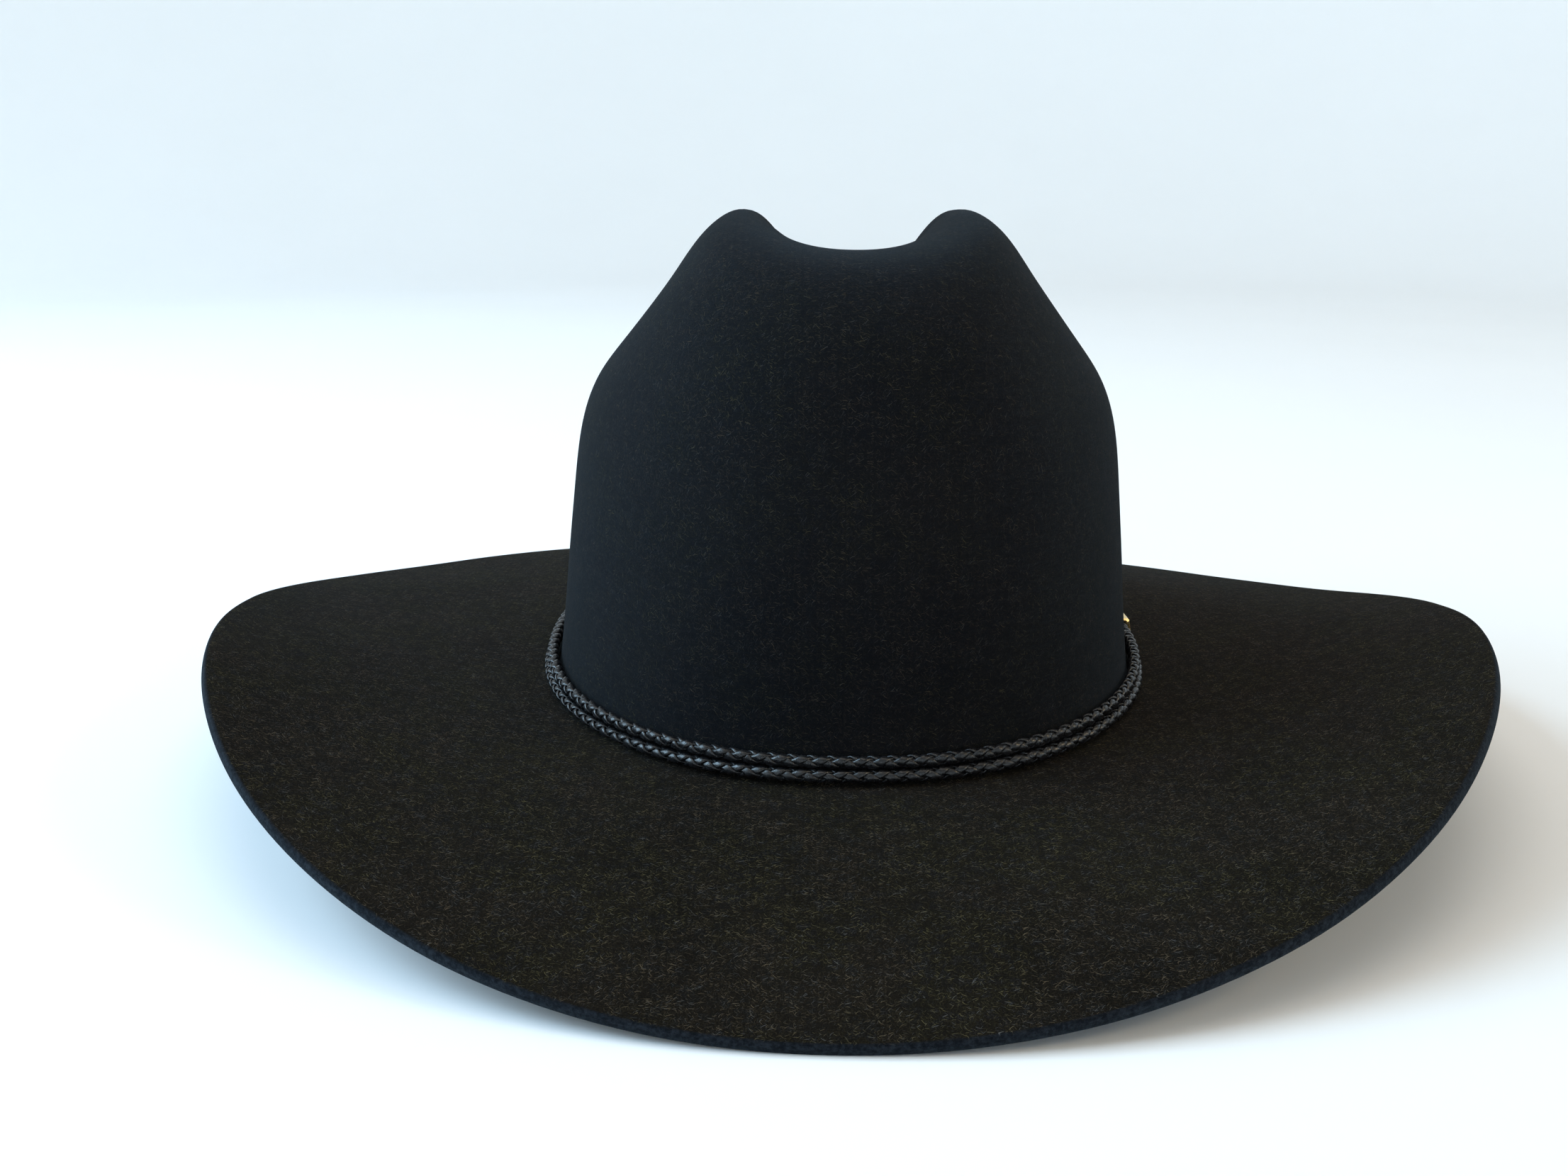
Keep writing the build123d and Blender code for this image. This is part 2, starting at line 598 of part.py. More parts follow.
PARTS = {
    "felt_body": felt_body,
    "sweatband": sweatband,
    "sweatband_reed": sweatband_reed,
    "sweatband_stitches": sweatband_stitches,
    "sweatband_join_stitches": sweatband_join_stitches,
    "sweatband_tape": sweatband_tape,
    "bow_ribbon": bow_ribbon,
    "bow_knot": bow_knot,
    "lining_side": lining_side,
    "lining_tip": lining_tip,
    "lining_piping": lining_piping,
    "tip_protector": tip_protector,
    "band_cord_upper": lambda: hatband_cord("upper"),
    "band_cord_lower": lambda: hatband_cord("lower"),
    "band_cap_front": cap_front,
    "band_cap_rear": cap_rear,
    "buckle_strap": buckle_strap,
    "billet": billet,
    "buckle_frame": buckle_frame,
    "buckle_prong": buckle_prong,
    "band_keeper": band_keeper,
}


def main():
    os.makedirs("parts", exist_ok=True)
    for name, make in PARTS.items():
        made = make()
        shape = Compound(children=list(made)) if isinstance(made, list) else made
        shape.label = name
        export_step(shape, f"parts/{name}.step")
        print(name, round(shape.volume, 1), shape.is_valid)
    print("origin", [round(float(v), 3) for v in ORIGIN])
    print("size", [round(float(v), 2) for v in BOX_HIGH - BOX_LOW])


main()
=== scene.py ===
import math

import bpy
import numpy as np
from mathutils import Matrix, Vector, noise


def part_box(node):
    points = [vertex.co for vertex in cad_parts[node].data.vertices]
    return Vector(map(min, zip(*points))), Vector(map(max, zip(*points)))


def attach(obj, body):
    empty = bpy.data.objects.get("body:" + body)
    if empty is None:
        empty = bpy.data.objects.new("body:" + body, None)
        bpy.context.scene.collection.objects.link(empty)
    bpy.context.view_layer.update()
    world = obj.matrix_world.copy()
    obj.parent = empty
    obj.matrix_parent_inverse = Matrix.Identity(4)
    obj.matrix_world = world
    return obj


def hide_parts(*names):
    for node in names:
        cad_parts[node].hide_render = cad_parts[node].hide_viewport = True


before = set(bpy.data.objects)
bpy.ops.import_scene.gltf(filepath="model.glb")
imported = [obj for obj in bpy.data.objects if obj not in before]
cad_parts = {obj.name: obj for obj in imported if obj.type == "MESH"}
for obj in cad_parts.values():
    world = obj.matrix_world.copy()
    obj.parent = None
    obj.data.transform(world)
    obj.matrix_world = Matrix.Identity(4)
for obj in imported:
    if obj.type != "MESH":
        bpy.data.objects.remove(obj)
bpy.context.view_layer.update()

MM = 0.001

# A felt western hat. Shapes are worked out in millimetres and laid down in metres.
# +X is the wearer's right, +Y the wearer's front, +Z up.

# ---- driving dimensions, the same as the frame's but for a thinner lining ------------------

HEAD_HALF_WIDTH = 87.5      # head oval, outside the felt
HEAD_HALF_LENGTH = 103.5
HEAD_SQUARENESS = 2.215     # the oval's exponent: 2 is an ellipse
BREAK_HEIGHT = 20.4         # where the crown meets the brim, above the table
BREAK_SADDLE = -1.53        # cosine term of twice the angle in that height
BREAK_TILT = 0.36           # cosine term of the angle in that height
BREAK_RADIUS = 3.0          # fillet between crown and brim

BRIM_WIDTH = 101.4          # cut width of the brim, break to edge
BRIM_START_SHARE = 0.3      # share of the mean brim angle that the brim has at the break
BRIM_ANGLES = [0.4, 3.4, -8.8, -4.4, 0.0, 0.5]   # cosine terms of the mean brim angle, degrees
BRIM_TWIST = 1.3            # sine term of twice the angle, degrees: one corner is rolled higher

FELT_CROWN = 2.0            # felt thickness in the crown
FELT_BRIM = 2.8             # felt thickness in the brim
FELT_EDGE = 3.3             # the raw cut edge is a little swollen

# Crown outlines from the break up over the rim and down to the middle of the crease.
# Each point is (share of the head oval, height above the table); they steer a smooth curve.
# The first three come from a fit to the photo's outline and are rounded.
CROWN_REAR = [(1, 40), (1, 60), (0.99, 85), (0.975, 108), (0.94, 126), (0.87, 139), (0.775, 148),
              (0.66, 151), (0.52, 151.5), (0.355, 147), (0.175, 137), (0.055, 131), (0, 131)]
CROWN_REAR_SIDE = [(0.985, 38), (0.965, 57), (0.935, 80), (0.905, 101), (0.855, 117.5), (0.765, 137),
                   (0.68, 147.5), (0.59, 156), (0.46, 159), (0.32, 154.5), (0.17, 141.5), (0.05, 131),
                   (0, 131)]
CROWN_SIDE = [(0.985, 36), (0.97, 55), (0.945, 76), (0.92, 97), (0.845, 113), (0.705, 123), (0.58, 131.5),
              (0.48, 148), (0.375, 161.5), (0.265, 155), (0.15, 139), (0.055, 131), (0, 131)]
CROWN_PINCH = [(1, 35), (0.985, 54), (0.955, 73), (0.90, 92), (0.80, 108), (0.67, 122), (0.575, 134),
               (0.50, 146), (0.42, 151), (0.31, 146), (0.17, 136), (0.05, 131), (0, 131)]
CROWN_FRONT = [(1, 35), (0.99, 57), (0.975, 79), (0.95, 98), (0.91, 113), (0.85, 124), (0.77, 131),
               (0.67, 135.5), (0.54, 134.5), (0.38, 131.5), (0.20, 131), (0.06, 131), (0, 131)]
CROWN_STATIONS = [CROWN_REAR, CROWN_REAR_SIDE, CROWN_SIDE, CROWN_PINCH, CROWN_FRONT]
CROWN_LEAN = 1.4            # the crown's top leans this far to the wearer's right
CROWN_RISE = 140.0          # over this height

SWEATBAND_GAP = 1.0         # leather to felt, so the rear tape fits between
TAPE_WIDTH, TAPE_HEIGHT, TAPE_THICK = 14.0, 20.0, 0.4
TAPE_LOW = 8.0              # the tape starts this far above the break

LINING_THICK = 0.3
LINING_TUCK = 0.3           # lining to felt behind the leather
LINING_GAP = 0.6            # lining to felt above the leather
LINING_LOW = 30.0           # height of the lining's lower edge above the break
LINING_CLEAR = 40.0         # and where it comes out from behind the leather
LINING_LOW_SHARE = 0.17     # that place along the crown outline
LINING_TOP_SHARE = 0.36     # where the side lining ends
LINING_MIDDLE = 116.0       # height of the tip lining at its middle
SEAM_DROP = 0.5             # the tip hangs this far under the side's edge
SEAM_SHARE = 0.995          # the tip's edge against the side's
PIPING_RADIUS = 1.1
PIPING_OVER = 0.5           # how far the piping covers the seam outward

UPPER_OUT, UPPER_UP = 2.2, 6.3   # upper cord's centre from the break corner
LOWER_OUT, LOWER_UP = 3.1, 2.75  # lower cord's centre
BUCKLE_ANGLE = 118.0        # where the buckle's hinge bar sits, from the rear round the right side
REAR_CAP_AT, FRONT_CAP_AT = -40.0, 44.0   # inner ends of the two cord caps along the band
CAP_LENGTH, CAP_CORD_DEPTH = 9.0, 6.0

# ---- the hat's surface ---------------------------------------------------------------------


def power(value, exponent):
    return np.sign(value) * np.abs(value) ** exponent


def oval(angle):
    share = 2 / HEAD_SQUARENESS
    return np.stack([HEAD_HALF_WIDTH * power(np.sin(angle), share),
                     -HEAD_HALF_LENGTH * power(np.cos(angle), share)], -1)


def oval_normal(angle):
    point = oval(angle)
    n = HEAD_SQUARENESS
    slope = np.stack([power(point[..., 0] / HEAD_HALF_WIDTH, n - 1) / HEAD_HALF_WIDTH,
                      power(point[..., 1] / HEAD_HALF_LENGTH, n - 1) / HEAD_HALF_LENGTH], -1)
    return slope / np.linalg.norm(slope, axis=-1, keepdims=True)


def break_height(angle):
    return BREAK_HEIGHT + BREAK_SADDLE * np.cos(2 * angle) + BREAK_TILT * np.cos(angle)


def brim_angle(angle):
    degrees = sum(a * np.cos(k * angle) for k, a in enumerate(BRIM_ANGLES))
    return np.radians(degrees + BRIM_TWIST * np.sin(2 * angle))


FINE_ANGLES = np.linspace(0, 2 * math.pi, 2881)
ARC = np.concatenate([[0], np.cumsum(np.linalg.norm(np.diff(oval(FINE_ANGLES), axis=0), axis=1))])


def even_angles(count):
    return np.interp(np.arange(count) / count * ARC[-1], ARC, FINE_ANGLES)


def ring(angle, out, up):
    flat = oval(angle) + oval_normal(angle) * (np.zeros(len(angle)) + out)[:, None]
    return np.concatenate([flat, (break_height(angle) + up)[:, None]], -1)


def brim_ring(angle, along):
    steps = np.linspace(0, along, 25)[:, None]
    slope = brim_angle(angle) * (BRIM_START_SHARE + 2 * (1 - BRIM_START_SHARE) * steps / BRIM_WIDTH)
    out = np.trapz(np.cos(slope), steps, axis=0)
    up = np.trapz(np.sin(slope), steps, axis=0)
    return ring(angle, out, up)


def smooth_curve(points, t):
    """A clamped cubic B-spline over control points, at values t from 0 to 1."""
    count = len(points)
    knots = np.concatenate([[0, 0, 0], np.linspace(0, 1, count - 2), [1, 1, 1]])
    t = np.clip(np.atleast_1d(t), 0, 1 - 1e-9)[:, None]
    basis = ((t >= knots[:-1]) & (t < knots[1:])).astype(float)
    for degree in (1, 2, 3):
        left, right = knots[:-degree - 1], knots[degree + 1:]
        up_span, down_span = knots[degree:-1] - left, right - knots[1:-degree]
        rise = np.where(up_span > 0, (t - left) / np.where(up_span > 0, up_span, 1), 0)
        fall = np.where(down_span > 0, (right - t) / np.where(down_span > 0, down_span, 1), 0)
        basis = rise * basis[:, :-1] + fall * basis[:, 1:]
    return basis @ np.asarray(points, float)


STATIONS = np.arange(len(CROWN_STATIONS))
STATION_TABLE = np.linalg.inv(np.cos(np.outer(STATIONS, STATIONS) * math.pi / 4))


def crown_rings(angle, shares):
    """The crown's outer surface at shares from 0, above the break fillet, to 1, in the crease."""
    weights = np.cos(np.outer(angle, STATIONS)) @ STATION_TABLE
    start = (1, BREAK_HEIGHT + BREAK_RADIUS)
    curves = np.array([smooth_curve([start] + s, shares) for s in CROWN_STATIONS])
    blend = np.einsum("as,stk->tak", weights, curves)
    settle = (1 - shares)[:, None] ** 6 * (break_height(angle) - BREAK_HEIGHT)[None]
    flat = oval(angle)[None] * blend[..., :1]
    lean = CROWN_LEAN * np.maximum(blend[..., 1] - BREAK_HEIGHT - BREAK_RADIUS, 0) / CROWN_RISE
    return np.stack([flat[..., 0] + lean, flat[..., 1], blend[..., 1] + settle], -1)


def surface_normals(rings):
    """Unit normals of a grid of rings, on the side that is inside the hat."""
    along = np.gradient(rings, axis=0)
    around = (np.roll(rings, -1, axis=1) - np.roll(rings, 1, axis=1)) / 2
    normal = np.cross(along, around)
    return normal / np.maximum(np.linalg.norm(normal, axis=-1, keepdims=True), 1e-9)


ANGLES = even_angles(320)


def felt_outer():
    """Rings from the brim's edge in, up the crown and down to the middle of the crease."""
    brim = [brim_ring(ANGLES, s) for s in np.linspace(BRIM_WIDTH - 0.6, BREAK_RADIUS + 1.2, 58)]
    turns = np.radians(np.linspace(84, 12, 7))
    fillet = [ring(ANGLES, BREAK_RADIUS * (1 - math.cos(t)), BREAK_RADIUS * (1 - math.sin(t))) for t in turns]
    shares = np.linspace(0, 1, 92)[:-1]
    rings = np.concatenate([brim, fillet, crown_rings(ANGLES, shares)])
    first, last = len(brim) - 3, len(brim) + len(fillet) + 2
    for _ in range(3):
        middle = rings[first:last]
        rings[first:last] = middle / 2 + (rings[first - 1:last - 1] + rings[first + 1:last + 1]) / 4
    return rings, len(brim), len(brim) + len(fillet)


OUTER, BRIM_END, CROWN_START = felt_outer()
RAW_LOW, RAW_HIGH = OUTER.min((0, 1)), OUTER.max((0, 1))

# ---- where the raw shape sits in the frame ---------------------------------------------------

FELT_LOW, FELT_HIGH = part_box("felt_body")
CENTRE = (FELT_LOW + FELT_HIGH) / 2 / MM
CROWN_MIDDLE = (RAW_LOW + RAW_HIGH) / 2
SHIFT = np.array([CENTRE.x - CROWN_MIDDLE[0], CENTRE.y - CROWN_MIDDLE[1], FELT_HIGH.z / MM - RAW_HIGH[2]])


def to_frame(points):
    return (np.asarray(points, float) + SHIFT) * MM


# ---- mesh helpers --------------------------------------------------------------------------


def make_object(name, points, faces, material, body, replaces, attributes=None):
    """A mesh piece in the row frame that rides on a body. Points are already in metres."""
    mesh = bpy.data.meshes.new(name)
    mesh.from_pydata(np.asarray(points, float).tolist(), [], faces)
    mesh.polygons.foreach_set("use_smooth", [True] * len(mesh.polygons))
    for key, values in (attributes or {}).items():
        values = np.asarray(values, np.float32)
        kind = "FLOAT_VECTOR" if values.ndim == 2 else "FLOAT"
        layer = mesh.attributes.new(key, kind, "POINT")
        layer.data.foreach_set("vector" if values.ndim == 2 else "value", values.ravel())
    mesh.update()
    piece = bpy.data.objects.new(name, mesh)
    bpy.context.scene.collection.objects.link(piece)
    piece.data.materials.append(material)
    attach(piece, body)
    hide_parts(*replaces)
    return piece


def grid_faces(rows, columns, wrap_rows=False, start=0, flip=False):
    """Quads over a grid of points, rows by columns. Each row is a closed ring."""
    i, j = np.meshgrid(np.arange(rows if wrap_rows else rows - 1), np.arange(columns), indexing="ij")
    i2, j2 = (i + 1) % rows, (j + 1) % columns
    quads = np.stack([i * columns + j, i * columns + j2, i2 * columns + j2, i2 * columns + j], -1)
    quads = quads.reshape(-1, 4) + start
    return quads[:, ::-1].tolist() if flip else quads.tolist()


def fan_faces(hub, first, count, flip=False):
    faces = [[hub, first + k, first + (k + 1) % count] for k in range(count)]
    return [f[::-1] for f in faces] if flip else faces


def tube_points(path, side, up, radius, sides):
    """A round tube along a path, with unit side and up vectors at each point."""
    turns = np.arange(sides) / sides * 2 * math.pi
    return (path[:, None] + radius * (np.cos(turns)[None, :, None] * side[:, None]
                                      + np.sin(turns)[None, :, None] * up[:, None]))


# ---- materials -------------------------------------------------------------------------------


HAIR_CELLS = (2.2, 1.8, 1.45, 1.2, 1.0)     # millimetres to a hair, in five layers
HAIR_REACH, HAIR_WIDTH = 0.42, 0.035        # half length and half width of a hair, in its cell
HAIR_BEND = 0.6
CROWN_NAP_AND_PAINTED_LIGHT = 0.42            # how much of the pale nap, and of the brim's warm painted-light tint, shows on the crown, against 1 on the brim
CROWN_SHEEN, BRIM_SHEEN = 0.046, 0.009


class Nodes:
    """A short way to lay out a material's nodes."""

    def __init__(self, name):
        self.material = bpy.data.materials.new(name)
        self.material.use_nodes = True
        self.tree = self.material.node_tree
        self.shader = self.tree.nodes["Principled BSDF"]

    def add(self, kind, inputs=None, **settings):
        node = self.tree.nodes.new(kind)
        for key, value in settings.items():
            setattr(node, key, value)
        for key, value in (inputs or {}).items():
            self.put(node.inputs[key], value)
        return node

    def put(self, socket, value):
        if isinstance(value, bpy.types.NodeSocket):
            self.tree.links.new(value, socket)
        else:
            socket.default_value = value

    def set(self, **values):
        for key, value in values.items():
            self.put(self.shader.inputs[key.replace("_", " ")], value)

    def attribute(self, name, output="Vector"):
        return self.add("ShaderNodeAttribute", attribute_name=name).outputs[output]

    def position(self):
        return self.add("ShaderNodeTexCoord").outputs["Object"]

    def scaled(self, vector, factors):
        node = self.add("ShaderNodeVectorMath", {0: vector, 1: factors}, operation="MULTIPLY")
        return node.outputs["Vector"]

    def plus(self, a, b):
        return self.add("ShaderNodeVectorMath", {0: a, 1: b}, operation="ADD").outputs["Vector"]

    def vector(self, operation, a, b=(0.0, 0.0, 0.0)):
        node = self.add("ShaderNodeVectorMath", {0: a, 1: b}, operation=operation)
        return node.outputs["Value" if operation == "DOT_PRODUCT" else "Vector"]

    def hairs(self, spot, normal, shift):
        """Short bent hairs that lie on the surface, one to a cell and each turned its own way."""
        spot = self.plus(spot, (shift, shift * 1.7, shift * 2.3))
        cells = self.add("ShaderNodeTexVoronoi", {"Vector": spot, "Scale": 1.0}, feature="F1")
        chance = self.add("ShaderNodeSeparateColor", {"Color": cells.outputs["Color"]}).outputs
        away = self.vector("SUBTRACT", spot, cells.outputs["Position"])
        turned = self.plus(cells.outputs["Color"], (-0.5, -0.5, -0.5))
        side = self.vector("NORMALIZE", self.vector("CROSS_PRODUCT", normal, turned))
        run = self.vector("DOT_PRODUCT", away, self.vector("CROSS_PRODUCT", side, normal))
        curve = self.ramp(chance["Green"], 0, 1, -HAIR_BEND, HAIR_BEND)
        bend = self.math("MULTIPLY", self.math("MULTIPLY", run, run), curve)
        off = self.math("ABSOLUTE", self.math("ADD", self.vector("DOT_PRODUCT", away, side), bend))
        body = self.ramp(off, HAIR_WIDTH * 0.3, HAIR_WIDTH, 1.0, 0.0)
        ends = self.ramp(self.math("ABSOLUTE", run), HAIR_REACH * 0.5, HAIR_REACH, 1.0, 0.0)
        bright = self.math("POWER", self.ramp(chance["Red"], 0.0, 0.97, 0.42, 1.0), 5.0)
        return self.math("MULTIPLY", self.math("MULTIPLY", body, ends), bright), cells.outputs["Color"]

    def noise(self, vector, scale, detail=2.0, roughness=0.5, output="Fac"):
        node = self.add("ShaderNodeTexNoise", {"Vector": vector, "Scale": scale, "Detail": detail,
                                               "Roughness": roughness})
        return node.outputs[output]

    def math(self, operation, a, b=0.0, clamp=False):
        node = self.add("ShaderNodeMath", {0: a, 1: b}, operation=operation, use_clamp=clamp)
        return node.outputs["Value"]

    def ramp(self, value, low, high, out_low=0.0, out_high=1.0):
        node = self.add("ShaderNodeMapRange", {"Value": value, "From Min": low, "From Max": high,
                                               "To Min": out_low, "To Max": out_high}, clamp=True)
        node.interpolation_type = "SMOOTHSTEP"
        return node.outputs["Result"]

    def mix(self, factor, a, b):
        node = self.add("ShaderNodeMix", data_type="RGBA")
        self.put(node.inputs["Factor"], factor)
        self.put(node.inputs["A"], a)
        self.put(node.inputs["B"], b)
        return node.outputs["Result"]

    def bump(self, height, strength, distance):
        node = self.add("ShaderNodeBump", {"Height": height, "Strength": strength, "Distance": distance})
        return node.outputs["Normal"]


def felt_material():
    """Black fur felt: a matt body with a short lying nap of paler fibres, and a paler raw edge. Its body
    colour carries painted light: tinted cool on the crown and warm on the brim.
    """
    n = Nodes("felt")
    grain = n.attribute("grain")
    nap_and_painted_light = n.attribute("nap_and_painted_light", "Fac")
    cut = n.attribute("cut", "Fac")
    where = n.position()
    normal = n.add("ShaderNodeTexCoord").outputs["Normal"]
    drift = n.noise(grain, 0.22, 3.0, 0.6, "Color")
    bent = n.plus(grain, n.scaled(n.plus(drift, (-0.5, -0.5, -0.5)), (3.0, 3.0, 22.0)))
    patches = n.ramp(n.noise(where, 280.0, 4.0, 0.62), 0.32, 0.70, 0.45, 1.45)
    flecks, hue = None, None
    for k, cell in enumerate(HAIR_CELLS):
        layer, colour = n.hairs(n.scaled(where, (1000 / cell,) * 3), normal, 7.3 * k)
        flecks = layer if flecks is None else n.math("MAXIMUM", flecks, layer)
        hue = colour if hue is None else n.mix(n.ramp(layer, 0.02, 0.1), hue, colour)
    under = n.ramp(n.noise(n.scaled(where, (2600.0,) * 3), 1.0, 3.0, 0.7), 0.40, 0.72, 0.0, 0.13)
    flecks = n.math("MULTIPLY", n.math("MAXIMUM", flecks, under), nap_and_painted_light)
    flecks = n.math("MULTIPLY", flecks, patches, clamp=True)
    tone = n.add("ShaderNodeSeparateColor", {"Color": hue}).outputs["Blue"]
    warmth = n.ramp(n.noise(where, 40.0, 2.0, 0.5), 0.4, 0.6)
    warm = n.mix(warmth, (0.112, 0.084, 0.054, 1), (0.104, 0.086, 0.042, 1))
    fibre = n.mix(n.ramp(tone, 0.6, 0.85), warm, (0.092, 0.088, 0.084, 1))
    cloud = n.ramp(n.noise(where, 18.0, 3.0, 0.55), 0.3, 0.7)
    # Painted light: the same felt is tinted cool on the crown, standing in for the cool window light, and
    # warm on the brim, standing in for the warm room light; the nap attribute blends the two tints.
    crown_felt_painted_cool_light = n.mix(cloud, (0.0038, 0.0052, 0.0078, 1), (0.0050, 0.0062, 0.0086, 1))
    brim_felt_painted_warm_light = n.mix(cloud, (0.0038, 0.0029, 0.0020, 1), (0.0062, 0.0048, 0.0034, 1))
    colour = n.mix(flecks, n.mix(nap_and_painted_light, crown_felt_painted_cool_light, brim_felt_painted_warm_light), fibre)
    raw = n.mix(n.ramp(n.noise(where, 900.0, 3.0, 0.7), 0.35, 0.7), (0.004, 0.005, 0.007, 1),
                (0.017, 0.021, 0.027, 1))
    n.set(Base_Color=n.mix(cut, colour, raw), Roughness=0.95, Specular_IOR_Level=0.03, Sheen_Roughness=0.5,
          Sheen_Tint=(0.58, 0.80, 1.0, 1))
    n.put(n.shader.inputs["Sheen Weight"], n.ramp(nap_and_painted_light, CROWN_NAP_AND_PAINTED_LIGHT, 1.0, CROWN_SHEEN, BRIM_SHEEN))
    fuzz = n.noise(bent, 3.4, 4.0, 0.7)
    n.set(Normal=n.bump(fuzz, 0.5, 0.00035))
    return n.material


def leather_material(name, light, dark, roughness, pore_scale, bump):
    """Leather: pores and creases in the bump, uneven dye, and a gloss that wears with the grain."""
    n = Nodes(name)
    where = n.position()
    cells = n.add("ShaderNodeTexVoronoi", {"Vector": where, "Scale": pore_scale}, feature="F1")
    cracks = n.noise(where, pore_scale * 0.35, 5.0, 0.65)
    dye = n.noise(where, pore_scale * 0.03, 3.0, 0.6)
    n.set(Base_Color=n.mix(n.ramp(dye, 0.3, 0.7), dark, light))
    n.set(Roughness=n.ramp(cracks, 0.3, 0.75, roughness - 0.08, roughness + 0.12), Specular_IOR_Level=0.5)
    pores = n.math("MULTIPLY", cells.outputs["Distance"], 0.6)
    height = n.math("ADD", pores, n.math("MULTIPLY", cracks, 0.7))
    n.set(Normal=n.bump(height, bump, 0.0002))
    return n.material


def cloth_material(name, light, dark, threads, roughness, sheen, shine=0.5, aniso=0.0):
    """Woven cloth: two sets of threads from sine waves in the bump and colour."""
    n = Nodes(name)
    grain = n.attribute("grain")
    split = n.add("ShaderNodeSeparateXYZ", {0: grain})
    warp = n.math("SINE", n.math("MULTIPLY", split.outputs["X"], threads))
    weft = n.math("SINE", n.math("MULTIPLY", split.outputs["Y"], threads))
    weave = n.math("MULTIPLY", n.math("ADD", n.math("MULTIPLY", warp, weft), 1.0), 0.5)
    slub = n.noise(n.scaled(grain, (0.05, 1.2, 1.0)), 1.0, 2.0, 0.5)
    tone = n.math("ADD", n.math("MULTIPLY", weave, 0.35), n.math("MULTIPLY", slub, 0.65))
    n.set(Base_Color=n.mix(n.ramp(tone, 0.25, 0.75), dark, light), Roughness=roughness,
          Sheen_Weight=sheen, Specular_IOR_Level=shine, Anisotropic=aniso)
    n.set(Normal=n.bump(tone, 0.35, 0.00012))
    return n.material


def brass_material():
    n = Nodes("brass")
    where = n.position()
    scratches = n.noise(n.scaled(where, (1.0, 1.0, 9.0)), 900.0, 3.0, 0.6)
    tarnish = n.noise(where, 150.0, 3.0, 0.55)
    n.set(Base_Color=n.mix(n.ramp(tarnish, 0.45, 0.85), (0.83, 0.60, 0.26, 1), (0.64, 0.43, 0.17, 1)),
          Metallic=1.0, Roughness=n.ramp(scratches, 0.3, 0.8, 0.22, 0.36))
    n.set(Normal=n.bump(scratches, 0.05, 0.00005))
    return n.material


def clear_plastic_material():
    n = Nodes("clear_plastic")
    haze = n.noise(n.position(), 60.0, 3.0, 0.6)
    n.set(Base_Color=(0.93, 0.95, 0.96, 1), Roughness=n.ramp(haze, 0.3, 0.7, 0.06, 0.2),
          Transmission_Weight=1.0, IOR=1.45)
    n.set(Normal=n.bump(haze, 0.08, 0.0005))
    return n.material


def plastic_material(name, colour, dark, roughness):
    n = Nodes(name)
    wear = n.noise(n.position(), 400.0, 3.0, 0.6)
    n.set(Base_Color=n.mix(n.ramp(wear, 0.35, 0.7), dark, colour), Roughness=roughness)
    n.set(Normal=n.bump(wear, 0.15, 0.0001))
    return n.material


def thread_material(name, light, dark):
    n = Nodes(name)
    twist = n.add("ShaderNodeTexWave", {"Vector": n.position(), "Scale": 900.0, "Distortion": 1.5},
                  wave_type="BANDS", bands_direction="DIAGONAL").outputs["Fac"]
    n.set(Base_Color=n.mix(twist, dark, light), Roughness=0.8, Sheen_Weight=0.3)
    n.set(Normal=n.bump(twist, 0.5, 0.0001))
    return n.material


FELT = felt_material()
SWEAT_LEATHER = leather_material("sweatband_leather", (0.125, 0.056, 0.026, 1), (0.072, 0.03, 0.014, 1), 0.45,
                                 1500.0, 0.35)
CORD_LEATHER = leather_material("cord_leather", (0.010, 0.010, 0.011, 1), (0.004, 0.004, 0.005, 1), 0.30,
                                2600.0, 0.25)
STRAP_LEATHER = leather_material("strap_leather", (0.022, 0.020, 0.019, 1), (0.008, 0.007, 0.007, 1), 0.34,
                                 1100.0, 0.6)
SATIN = cloth_material("satin", (0.70, 0.63, 0.50, 1), (0.58, 0.51, 0.40, 1), 36.0, 0.27, 0.25, 0.6, 0.5)
RIBBON = cloth_material("ribbon", (0.03, 0.03, 0.033, 1), (0.008, 0.008, 0.009, 1), 12.0, 0.5, 0.4)
TAPE = cloth_material("cotton_tape", (0.06, 0.06, 0.063, 1), (0.02, 0.02, 0.022, 1), 16.0, 0.85, 0.4)
BRASS = brass_material()
CLEAR = clear_plastic_material()
REED = plastic_material("reed_plastic", (0.62, 0.60, 0.54, 1), (0.5, 0.47, 0.4, 1), 0.45)
THREAD = thread_material("thread", (0.05, 0.05, 0.052, 1), (0.01, 0.01, 0.01, 1))


# ---- felt --------------------------------------------------------------------------------------


def grain_of(rings, start=0.0):
    """Texture space whose streaks run round the hat: the third value counts millimetres across them."""
    around = np.arctan2(rings[..., 0], -rings[..., 1])
    step = np.linalg.norm(np.diff(rings, axis=0), axis=-1)
    across = start + np.concatenate([np.zeros((1, rings.shape[1])), np.cumsum(step, 0)])
    reach = 26.0
    return np.stack([np.cos(around) * reach, np.sin(around) * reach, across], -1)


FELT_WAVE_BRIM, FELT_WAVE_CROWN = 0.28, 0.2     # millimetres that the felt is uneven by
FELT_WAVE_SCALE = 0.022     # noise cells to a millimetre
LIP_TURNS = (60, 35, 12, -12, -35, -60)         # degrees round the raw edge
LIP_SWELL = 1.02            # the edge's thickness against the brim's
LIP_START, LIP_REACH = 0.15, 0.75               # how far the edge stands out
INSIDE_NAP_AND_PAINTED_LIGHT = 0.8            # share of the nap, and of the brim's warm painted-light tint, that the felt's inside has
